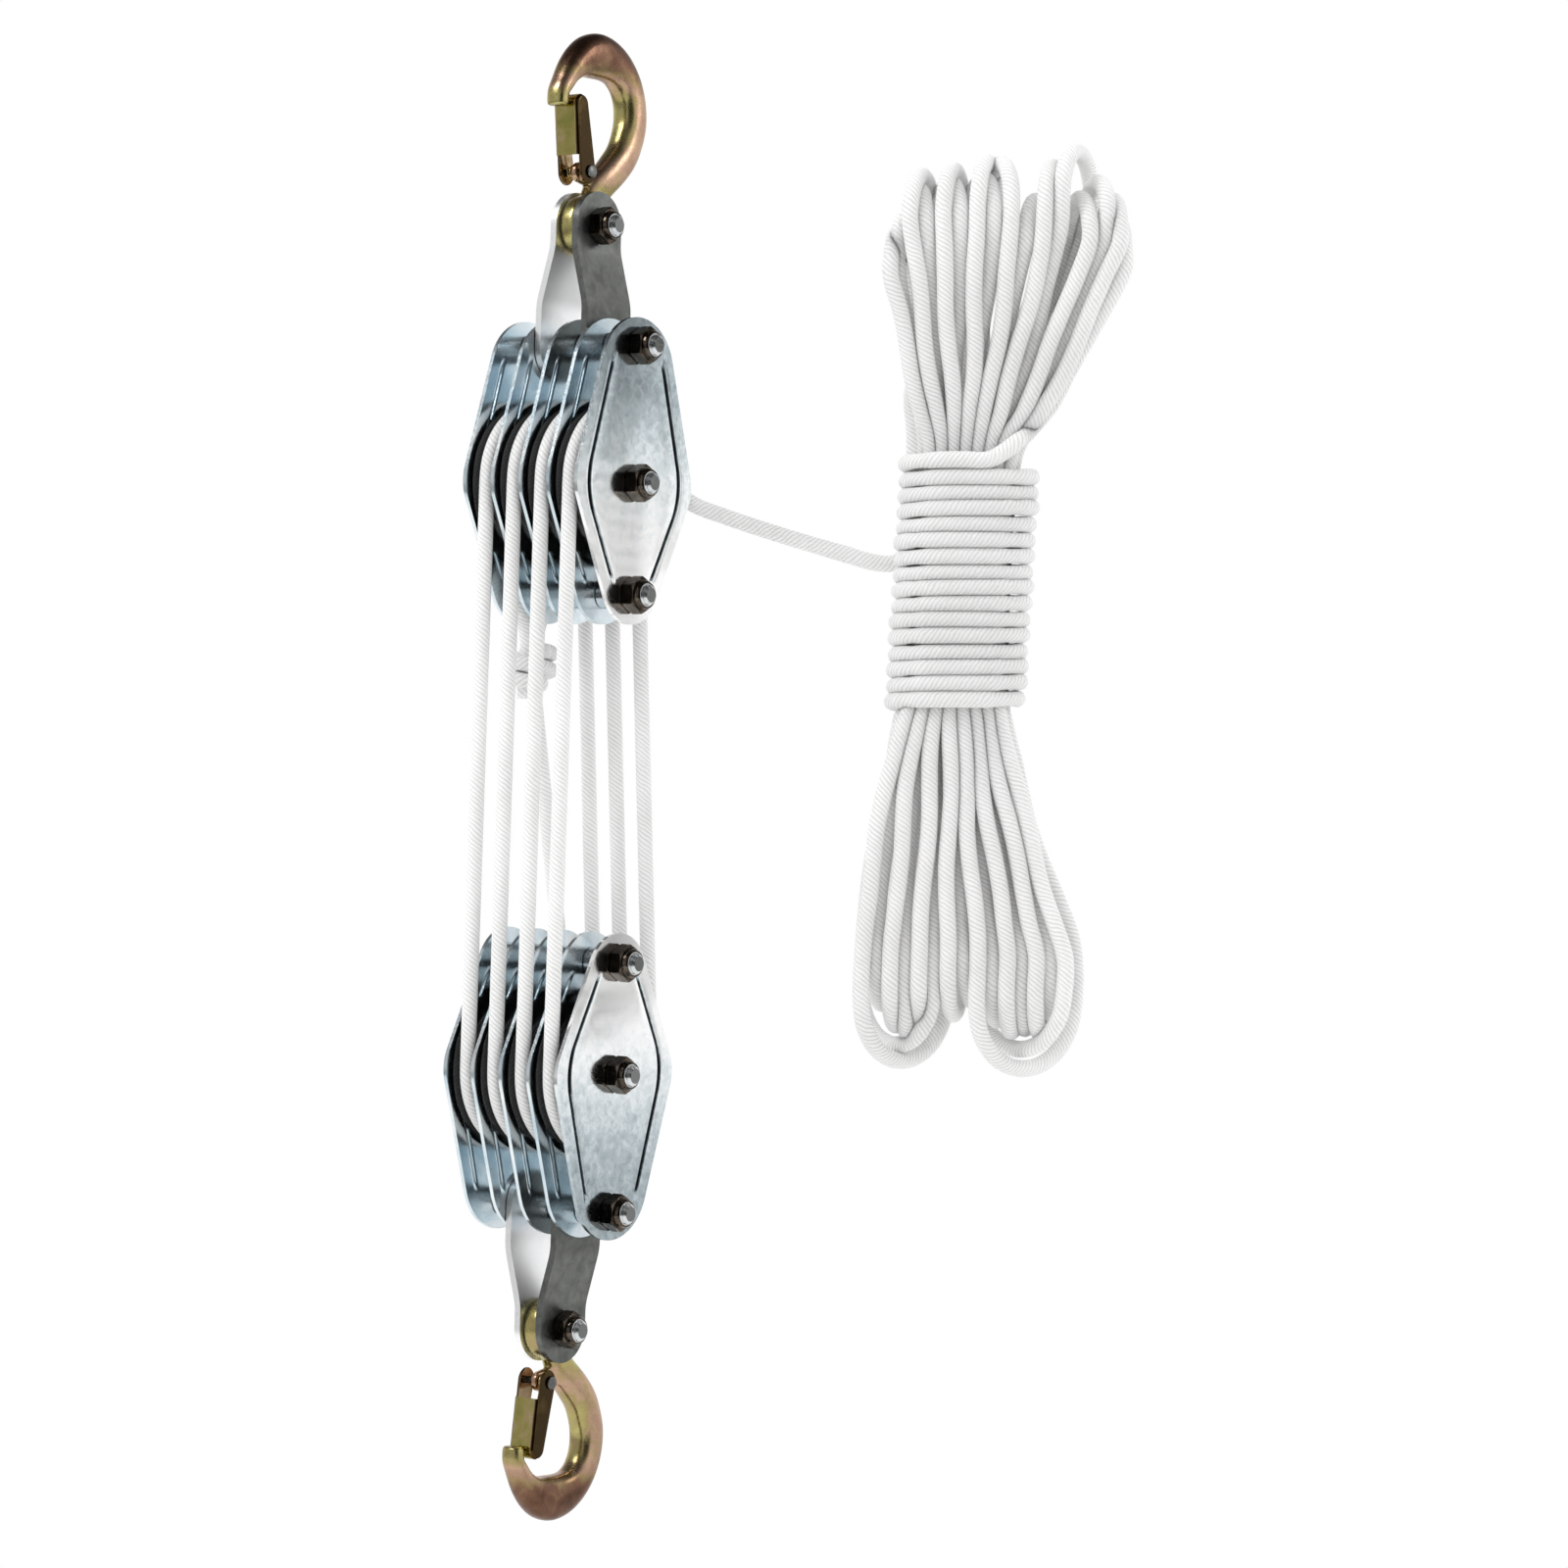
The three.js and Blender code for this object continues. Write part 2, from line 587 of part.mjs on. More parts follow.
function makeHook(prefix) {
  const group = new THREE.Group();
  group.add(piece(`${prefix}_hook`, hookForging(), finish.yellowZinc));
  const latchGroup = new THREE.Group();
  latchGroup.position.set(0, pin.y, pin.z);
  latchGroup.add(piece(`${prefix}_latch_pin`, latchPin(), finish.boltSteel));
  const springName = `${prefix}_latch_spring`;
  latchGroup.add(piece(springName, woundTube(springName, springPoints(), spring.wireRadius, spring.sides),
    finish.springSteel));
  const channel = piece(`${prefix}_latch`, latchChannel(), finish.yellowLatch);
  channel.rotation.x = latchLean;
  latchGroup.add(channel);
  group.add(latchGroup);
  return group;
}

// Block: plates, sheaves, bolts, nuts and straps, its axle at the group's origin and its hook side up

function makeBlock(prefix) {
  const block = new THREE.Group();
  const plate = cheekPlate();
  for (let i = 0; i < cheek.count; i++) {
    const cheekMesh = piece(`${prefix}_cheek_plate_${i + 1}`, plate, finish.zinc);
    cheekMesh.position.x = plateX(i);
    block.add(cheekMesh);
  }
  const wheel = sheaveWheel();
  for (let i = 0; i < bayCount; i++) {
    const sheaveMesh = piece(`${prefix}_sheave_${i + 1}`, wheel, finish.blackSheave);
    sheaveMesh.position.x = bayX(i);
    block.add(sheaveMesh);
  }
  const nutSolid = lockNut();
  const headFace = -outerFace - seatGap;
  const crossBolts = [
    ['hook_side', hookBoltZ, hookBoltSleeves()],
    ['axle', 0, fullSleeves(bearingRadius)],
    ['rope_side', ropeBoltZ, fullSleeves(sleeveRadius)],
  ];
  for (const [name, z, sleeves] of crossBolts) {
    const boltMesh = piece(`${prefix}_${name}_bolt`, shaft(headFace, crossBoltEnd, sleeves), finish.boltSteel);
    boltMesh.position.z = z;
    const nutMesh = piece(`${prefix}_${name}_nut`, nutSolid, finish.blackNut);
    nutMesh.position.set(nutFace, 0, z);
    block.add(boltMesh, nutMesh);
  }
  const eyeBolt = piece(`${prefix}_eye_bolt`, shaft(-eyeNutFace, eyeNutFace + nut.height + bolt.endReach, []),
    finish.boltSteel);
  eyeBolt.position.z = eyeBoltZ;
  const eyeNut = piece(`${prefix}_eye_nut`, nutSolid, finish.blackNut);
  eyeNut.position.set(eyeNutFace, 0, eyeBoltZ);
  block.add(eyeBolt, eyeNut);
  block.add(piece(`${prefix}_front_strap`, strapBar(1), finish.darkStrap));
  block.add(piece(`${prefix}_rear_strap`, strapBar(-1), finish.zinc));
  return block;
}

// Rope over the sheaves

// Corners of a path that touches a circle from one angle to another, in the plane across X
function roundArc(x, z, radius, from, to, steps) {
  const step = (to - from) / steps;
  const reach = radius / Math.cos(step / 2);
  return Array.from({ length: steps }, (_, k) => {
    const angle = from + (k + 0.5) * step;
    return new THREE.Vector3(x, reach * Math.cos(angle), z + reach * Math.sin(angle));
  });
}

const deadX = bayX(0);
const deadZ = upperAxleZ + ropeBoltZ;
const legY = ropeRadius + seatGap / 2;
const knotLow = deadZ - deadEnd.top - deadEnd.turns * ropePitch;

// Down from a point on the last sheave, square to the radius there
function leavingPoint(distance) {
  const out = new THREE.Vector3(0, Math.cos(leaveAngle), Math.sin(leaveAngle));
  const down = new THREE.Vector3(0, Math.sin(leaveAngle), -Math.cos(leaveAngle));
  return new THREE.Vector3(bayX(bayCount - 1), 0, upperAxleZ)
    .addScaledVector(out, pitchRadius)
    .addScaledVector(down, distance);
}

function reevingPoints() {
  const eyeRadius = sleeveRadius + seatGap + ropeRadius;
  const legTop = deadZ - deadEnd.top + ropePitch;
  const points = [
    new THREE.Vector3(deadX, -legY, knotLow - rope.diameter),
    new THREE.Vector3(deadX, -legY, legTop),
    ...roundArc(deadX, deadZ, eyeRadius, Math.PI + eyeTilt, -eyeTilt, rope.wrapSteps),
    new THREE.Vector3(deadX, legY, legTop),
    new THREE.Vector3(deadX, legY, knotLow - rope.diameter),
  ];
  for (let i = 0; i < bayCount; i++) {
    const last = i === bayCount - 1;
    points.push(new THREE.Vector3(bayX(i), pitchRadius, lowerAxleZ + rope.rimClear));
    points.push(...roundArc(bayX(i), lowerAxleZ, pitchRadius, 0, -Math.PI, rope.wrapSteps));
    points.push(...roundArc(bayX(i), upperAxleZ, pitchRadius, Math.PI, last ? leaveAngle : 0, rope.wrapSteps));
    points.push(last ? leavingPoint(rope.diameter)
      : new THREE.Vector3(bayX(i), pitchRadius, upperAxleZ - rope.rimClear));
  }
  return points;
}

// Turns of the rope's end round both legs of the eye
function endTurnsPoints() {
  const halfX = ropePitch;
  const halfY = legY + ropePitch;
  const stations = deadEnd.turns * deadEnd.turnSteps;
  return Array.from({ length: stations + 1 }, (_, k) => {
    const angle = k * tau / deadEnd.turnSteps;
    const straight = halfY - halfX;
    return new THREE.Vector3(deadX + halfX * Math.cos(angle),
      halfX * Math.sin(angle) + straight * Math.sin(angle),
      deadZ - deadEnd.top - ropePitch * k / deadEnd.turnSteps);
  });
}

// Hank

// Place of a strand: ring 0 outermost, layer 0 at the back, spread 0 in the waist and 1 at an end
function strand(side, ring, layer, spread, endHalf, z) {
  const waistX = (hank.rings - 0.5 - ring) * ropePitch;
  const endX = endHalf - ring * (endHalf - hank.innerHalf) / (hank.rings - 1);
  const layerPitch = ropePitch + (hank.endLayerPitch - ropePitch) * spread;
  return new THREE.Vector3(
    side * (waistX + (endX - waistX) * spread) + hank.endShift * spread,
    ((hank.layers - 1) / 2 - layer) * layerPitch,
    z,
  );
}

// Ring and layer of each loop: in along the first layer, out along the next, and so on
function slot(loop) {
  const layer = Math.floor(loop / hank.rings);
  const step = loop % hank.rings;
  return { layer, ring: layer % 2 === 0 ? step : hank.rings - 1 - step };
}

function loopPoints(loop) {
  const here = slot(loop);
  const next = slot(loop + 1);
  const upper = (side, spread, z) => strand(side, here.ring, here.layer, spread, hank.topHalf, z);
  const lower = (side, spread, z, at = here) => strand(side, at.ring, at.layer, spread, hank.bottomHalf, z);
  const middleTop = (hank.throatTop + hank.shoulderTop) / 2;
  const middleBottom = (hank.throatBottom + hank.shoulderBottom) / 2;
  const points = [
    upper(-1, throatShare, hank.throatTop),
    upper(-1, middleShare, middleTop),
    upper(-1, 1, hank.shoulderTop),
  ];
  for (let k = 1; k < archSteps; k++) {
    const angle = Math.PI * (1 - k / archSteps);
    const rise = hank.top - here.ring * hank.ringStep - hank.shoulderTop;
    points.push(upper(Math.cos(angle), 1, hank.shoulderTop + rise * Math.sin(angle)));
  }
  points.push(
    upper(1, 1, hank.shoulderTop),
    upper(1, middleShare, middleTop),
    upper(1, throatShare, hank.throatTop),
    upper(1, 0, hank.waistHalf),
    lower(1, 0, -hank.waistHalf),
    lower(1, throatShare, -hank.throatBottom),
    lower(1, middleShare, -middleBottom),
    lower(1, 1, -hank.shoulderBottom),
  );
  for (let k = 1; k < archSteps; k++) {
    const part = k / archSteps;
    const between = {
      ring: here.ring + (next.ring - here.ring) * part,
      layer: here.layer + (next.layer - here.layer) * part,
    };
    const drop = hank.bottom - between.ring * hank.ringStep - hank.shoulderBottom;
    const angle = Math.PI * part;
    points.push(lower(Math.cos(angle), 1, -hank.shoulderBottom - drop * Math.sin(angle), between));
  }
  points.push(
    lower(-1, 1, -hank.shoulderBottom, next),
    lower(-1, middleShare, -middleBottom, next),
    lower(-1, throatShare, -hank.throatBottom, next),
    lower(-1, 0, -hank.waistHalf, next),
    lower(-1, 0, hank.waistHalf, next),
  );
  return points;
}

// Where the last loop ends, where the waist turns begin, and the next place straight on from there
function hankEnd() {
  const last = slot(hank.loops);
  const share = throatShare * (hank.endZ - hank.waistHalf) / (hank.throatTop - hank.waistHalf);
  const below = strand(-1, last.ring, last.layer, 0, hank.topHalf, hank.waistHalf);
  const end = strand(-1, last.ring, last.layer, share, hank.topHalf, hank.endZ);
  const along = end.clone().sub(below).normalize();
  return [0, seatGap, seatGap + rope.diameter].map((distance) => end.clone().addScaledVector(along, distance));
}

function hankPoints() {
  const points = Array.from({ length: hank.loops }, (_, loop) => loopPoints(loop)).flat();
  return [...points, hankEnd()[0]];
}

// Turns round the waist, from the end of the last loop: a bend over the front, then down in a row
function waistPoints() {
  const halfX = (hank.rings + 0.5) * ropePitch;
  const halfY = (hank.layers + 1) / 2 * ropePitch;
  const corners = [[1, -1, -quarter], [1, 1, 0], [-1, 1, quarter], [-1, -1, Math.PI]];
  const perTurn = corners.length * (waist.cornerSteps + 1);
  const top = waist.turns * waist.pitch / 2;
  const points = [...hankEnd().slice(1), ...waist.leadIn.map((p) => new THREE.Vector3(...p))];
  const stations = waist.turns * perTurn - waist.cornerSteps - 1;
  for (let i = 0; i < stations; i++) {
    const [sideX, sideY, from] = corners[Math.floor(i / (waist.cornerSteps + 1)) % corners.length];
    const angle = from + quarter * (i % (waist.cornerSteps + 1)) / waist.cornerSteps;
    points.push(new THREE.Vector3(
      sideX * (halfX - ropePitch) + ropePitch * Math.cos(angle),
      sideY * (halfY - ropePitch) + ropePitch * Math.sin(angle),
      top - waist.pitch * i / perTurn,
    ));
  }
  points.push(points[points.length - 1].clone().add(new THREE.Vector3(0, -rope.diameter, 0)));
  return points;
}

// The hauling part's run: from the last sheave, in the world, to the first loop of the hank

function tailPoints(hankFrame) {
  const fromHank = (p) => p.clone().applyMatrix4(hankFrame);
  const first = loopPoints(0);
  const joint = first[0];
  const back = joint.clone().sub(first[1]).normalize();
  const nearJoint = (distance) => fromHank(joint.clone().addScaledVector(back, distance));
  const curve = new THREE.CatmullRomCurve3([
    leavingPoint(2 * rope.diameter + seatGap),
    ...tail.path.map((p) => fromHank(new THREE.Vector3(...p))),
    nearJoint(seatGap + rope.diameter),
  ], false, 'centripetal');
  return [leavingPoint(rope.diameter + seatGap), ...curve.getPoints(tail.steps), nearJoint(seatGap)];
}

// Assembly

const tackle = new THREE.Group();
tackle.name = 'block_and_tackle';

const upperHook = makeHook('upper');
upperHook.position.z = -hook.reach;
tackle.add(upperHook);

const upperBlock = makeBlock('upper');
upperBlock.position.z = upperAxleZ;
tackle.add(upperBlock);

const lowerBlock = makeBlock('lower');
lowerBlock.rotation.x = Math.PI;
lowerBlock.position.z = lowerAxleZ;
tackle.add(lowerBlock);

// Turned over with its block, then half round, so that both mouths open to the same side
const lowerHook = makeHook('lower');
lowerHook.rotation.set(0, Math.PI, 0);
lowerHook.position.z = lowerAxleZ - eyeBoltZ;
tackle.add(lowerHook);

const hankGroup = new THREE.Group();
hankGroup.rotation.z = hankTurn;
hankGroup.position.set(hankPlace.across * Math.cos(hankTurn), hankPlace.across * Math.sin(hankTurn),
  upperAxleZ - hankPlace.down);
hankGroup.updateMatrix();
hankGroup.add(piece('hank_loops', woundTube('hank_loops', hankPoints(), ropeRadius, hank.sides), finish.rope));
hankGroup.add(piece('hank_wraps', woundTube('hank_wraps', waistPoints(), ropeRadius, hank.sides), finish.rope));
tackle.add(hankGroup);

tackle.add(piece('rope_reeving', tube(reevingPoints(), ropeRadius, rope.sides), finish.rope));
tackle.add(piece('rope_end_knot', woundTube('rope_end_knot', endTurnsPoints(), ropeRadius, deadEnd.sides),
  finish.rope));
tackle.add(piece('rope_tail', tube(tailPoints(hankGroup.matrix), ropeRadius, tail.sides), finish.rope));

export default tackle;
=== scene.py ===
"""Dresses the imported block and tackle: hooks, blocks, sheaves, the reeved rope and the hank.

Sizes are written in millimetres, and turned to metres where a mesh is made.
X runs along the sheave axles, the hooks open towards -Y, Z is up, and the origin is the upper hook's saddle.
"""

import logging
import math
from dataclasses import dataclass, field
from enum import Enum
from typing import Any, Callable, Iterable, Sequence

import bmesh
import bpy
from mathutils import Matrix, Vector


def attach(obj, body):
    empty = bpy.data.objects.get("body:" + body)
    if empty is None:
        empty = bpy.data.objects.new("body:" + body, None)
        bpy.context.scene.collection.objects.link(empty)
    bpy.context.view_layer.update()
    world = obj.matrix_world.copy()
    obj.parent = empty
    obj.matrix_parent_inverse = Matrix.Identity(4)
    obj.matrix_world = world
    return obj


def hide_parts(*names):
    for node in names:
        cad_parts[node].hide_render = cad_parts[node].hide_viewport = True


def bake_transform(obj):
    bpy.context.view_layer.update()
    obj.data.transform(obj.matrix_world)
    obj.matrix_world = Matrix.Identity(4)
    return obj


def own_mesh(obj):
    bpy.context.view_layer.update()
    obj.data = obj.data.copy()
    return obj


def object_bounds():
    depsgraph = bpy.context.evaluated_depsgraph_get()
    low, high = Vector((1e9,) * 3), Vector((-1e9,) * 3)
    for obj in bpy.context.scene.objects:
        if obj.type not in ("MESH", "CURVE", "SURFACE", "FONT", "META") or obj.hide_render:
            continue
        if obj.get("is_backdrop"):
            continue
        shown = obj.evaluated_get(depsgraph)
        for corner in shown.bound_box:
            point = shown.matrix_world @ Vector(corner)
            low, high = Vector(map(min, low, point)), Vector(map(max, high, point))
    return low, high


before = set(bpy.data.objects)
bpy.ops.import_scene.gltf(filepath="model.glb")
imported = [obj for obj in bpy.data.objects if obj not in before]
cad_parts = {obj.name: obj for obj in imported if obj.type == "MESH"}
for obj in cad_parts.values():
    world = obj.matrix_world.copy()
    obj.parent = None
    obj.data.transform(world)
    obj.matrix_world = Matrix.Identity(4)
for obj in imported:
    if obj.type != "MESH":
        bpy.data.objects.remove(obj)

MM = 0.001
TINY = 1e-6
WELD_MM = 0.002
# The radius at which a turned profile ends beside its axis
POLE_MM = 0.05
# Edges that turn more than this stay sharp in the shading
SHARP_DEG = 38.0
TURNED_SHARP_DEG = 30.0
SHEET_SHARP_DEG = 75.0
# Point attribute of a plated piece's film, which on some pieces also carries painted shade, painted reflection and
# painted highlight
FILM_AND_PAINTED_LIGHT = "film"
ROPE_LAY = "rope"
PHOTO_PIXELS = 1600
WHITE = "#FFFFFF"

Pair = tuple[float, float]
Triple = tuple[float, float, float]
Row = tuple[float, ...]
Pairs = tuple[Pair, ...]
Triples = tuple[Triple, ...]
Stops = tuple[tuple[float, str], ...]

log = logging.getLogger("tackle")


# Small helpers


def linear(code: str) -> tuple[float, float, float, float]:
    """Turns an sRGB hex colour to linear values.

    Args:
        code: Six hex digits after a hash sign.

    Returns:
        Linear red, green and blue, and an alpha of one.
    """
    parts = [int(code[i:i + 2], 16) / 255 for i in (1, 3, 5)]
    red, green, blue = (p / 12.92 if p <= 0.04045 else ((p + 0.055) / 1.055) ** 2.4 for p in parts)
    return (red, green, blue, 1.0)


def per_metre(size_mm: float) -> float:
    """Returns how many details of this size in millimetres lie in one metre."""
    return 1000.0 / size_mm


def blend_values(a: float, b: float, share: float) -> float:
    """Returns the value that lies a share of the way from a to b."""
    return a + (b - a) * share


def smooth_step(share: float) -> float:
    """Returns an eased share, flat at nought and at one."""
    held = min(1.0, max(0.0, share))
    return held * held * (3 - 2 * held)


def passed(value: float, span: Pair) -> float:
    """Returns the eased share that a value has passed of a span, given by its start and its length."""
    return smooth_step((value - span[0]) / span[1])


def add_node(tree: bpy.types.NodeTree, kind: str, settings: dict[Any, Any] | None = None,
             links: dict[Any, Any] | None = None) -> bpy.types.Node:
    """Adds one node with its settings and its incoming links.

    Args:
        tree: The node tree that takes the node.
        kind: Blender's name of the node's type.
        settings: Values by the name or place of an input, or by the name of a property. The key "stops" holds the
            places and hex colours of a colour ramp.
        links: Output sockets by the name or place of the input that they feed.

    Returns:
        The new node.
    """
    node = tree.nodes.new(kind)
    for name, value in (settings or {}).items():
        if name == "stops":
            ramp = node.color_ramp.elements
            for end, (place, code) in ((ramp[0], value[0]), (ramp[1], value[-1])):
                end.position = place
                end.color = linear(code)
            for place, code in value[1:-1]:
                ramp.new(place).color = linear(code)
        elif isinstance(name, int) or name in node.inputs:
            node.inputs[name].default_value = value
        else:
            setattr(node, name, value)
    for name, source in (links or {}).items():
        tree.links.new(source, node.inputs[name])
    return node


# Finishes


@dataclass(frozen=True)
class Finish:
    """What every finish has: its own name and the slot of the record that it belongs to."""

    name: str
    slot: str

    def make(self) -> bpy.types.Material:
        """Makes the material.

        Returns:
            The material, with its nodes laid out by shade().
        """
        material = bpy.data.materials.new(self.name)
        material.use_nodes = True
        tree = material.node_tree
        tree.nodes.clear()
        shader = self.shade(tree)
        add_node(tree, "ShaderNodeOutputMaterial", links={"Surface": shader.outputs[0]})
        return material

    def shade(self, tree: bpy.types.NodeTree) -> bpy.types.Node:
        """Lays out the nodes and returns the surface shader."""
        raise NotImplementedError


@dataclass(frozen=True)
class PlatedSteel(Finish):
    """Steel with a thin electroplated or passivated skin.

    The skin gives a mirror-like metal whose colour drifts in soft patches, with a faint waviness of the rolled or
    forged steel below it and a fine grain that breaks up the highlights.
    """

    tones: Stops = ((0.3, "#C8CCCC"), (0.7, "#E4E6E5"))
    patch_mm: float = 16.0
    patch_share: float = 0.5
    grain_mm: float = 0.8
    wave_mm: float = 9.0
    grain_depth_mm: float = 0.008
    wave_depth_mm: float = 0.02
    smooth: float = 0.14
    rough: float = 0.26
    uses_film_and_painted_light: bool = False

    def shade(self, tree: bpy.types.NodeTree) -> bpy.types.Node:
        """Lays out patches of colour, grain and waviness over a metal shader.

        Where the piece carries the film attribute, it leads the colour and the patches break it up. On the front plate
        that attribute is painted reflection and painted shade; on the hook it is the film with painted shade, painted
        highlight and painted reflection laid in.

        Args:
            tree: The material's node tree.

        Returns:
            The shader node.
        """
        place = add_node(tree, "ShaderNodeTexCoord").outputs["Object"]
        patches = add_node(tree, "ShaderNodeTexNoise", {"Scale": per_metre(self.patch_mm), "Detail": 3.0,
                                                       "Roughness": 0.55, "Distortion": 0.6}, {"Vector": place})
        tone = patches.outputs["Fac"]
        # The film attribute leads the colour here, with the painted light that it carries on the front plate and the
        # hook
        if self.uses_film_and_painted_light:
            film = add_node(tree, "ShaderNodeAttribute", {"attribute_name": FILM_AND_PAINTED_LIGHT})
            tone = add_node(tree, "ShaderNodeMath", {"operation": "MULTIPLY_ADD", 1: self.patch_share},
                            {0: tone, 2: film.outputs["Fac"]}).outputs[0]
        colour = add_node(tree, "ShaderNodeValToRGB", {"stops": self.tones}, {"Fac": tone})
        grain = add_node(tree, "ShaderNodeTexNoise", {"Scale": per_metre(self.grain_mm), "Detail": 2.0},
                         {"Vector": place})
        gloss = add_node(tree, "ShaderNodeMapRange", {"From Min": 0.3, "From Max": 0.7, "To Min": self.smooth,
                                                      "To Max": self.rough}, {"Value": grain.outputs["Fac"]})
        wave = add_node(tree, "ShaderNodeTexNoise", {"Scale": per_metre(self.wave_mm), "Detail": 1.0},
                        {"Vector": place})
        broad = add_node(tree, "ShaderNodeBump", {"Strength": 1.0, "Distance": self.wave_depth_mm * MM},
                         {"Height": wave.outputs["Fac"]})
        fine = add_node(tree, "ShaderNodeBump", {"Strength": 1.0, "Distance": self.grain_depth_mm * MM},
                        {"Height": grain.outputs["Fac"], "Normal": broad.outputs["Normal"]})
        return add_node(tree, "ShaderNodeBsdfPrincipled", {"Metallic": 1.0}, {
            "Base Color": colour.outputs["Color"], "Roughness": gloss.outputs["Result"],
            "Normal": fine.outputs["Normal"]})


@dataclass(frozen=True)
class MouldedPlastic(Finish):
    """Plastic moulded against a spark-eroded tool, with a fine even grain and a soft sheen."""

    dark: str = "#0E0F10"
    light: str = "#1E2022"
    grain_mm: float = 0.5
    cloud_grains: float = 22.0
    grain_depth_mm: float = 0.02
    smooth: float = 0.36
    rough: float = 0.5
    ior: float = 1.52

    def shade(self, tree: bpy.types.NodeTree) -> bpy.types.Node:
        """Lays out the moulded grain over a plastic shader.

        Args:
            tree: The material's node tree.

        Returns:
            The shader node.
        """
        place = add_node(tree, "ShaderNodeTexCoord").outputs["Object"]
        grain = add_node(tree, "ShaderNodeTexNoise", {"Scale": per_metre(self.grain_mm), "Detail": 2.0},
                         {"Vector": place})
        cloud = add_node(tree, "ShaderNodeTexNoise", {"Scale": per_metre(self.grain_mm * self.cloud_grains),
                                                     "Detail": 2.0}, {"Vector": place})
        colour = add_node(tree, "ShaderNodeValToRGB", {"stops": ((0.3, self.dark), (0.75, self.light))},
                          {"Fac": cloud.outputs["Fac"]})
        gloss = add_node(tree, "ShaderNodeMapRange", {"To Min": self.smooth, "To Max": self.rough},
                         {"Value": cloud.outputs["Fac"]})
        skin = add_node(tree, "ShaderNodeBump", {"Strength": 1.0, "Distance": self.grain_depth_mm * MM},
                        {"Height": grain.outputs["Fac"]})
        return add_node(tree, "ShaderNodeBsdfPrincipled", {"IOR": self.ior}, {
            "Base Color": colour.outputs["Color"], "Roughness": gloss.outputs["Result"],
            "Normal": skin.outputs["Normal"]})


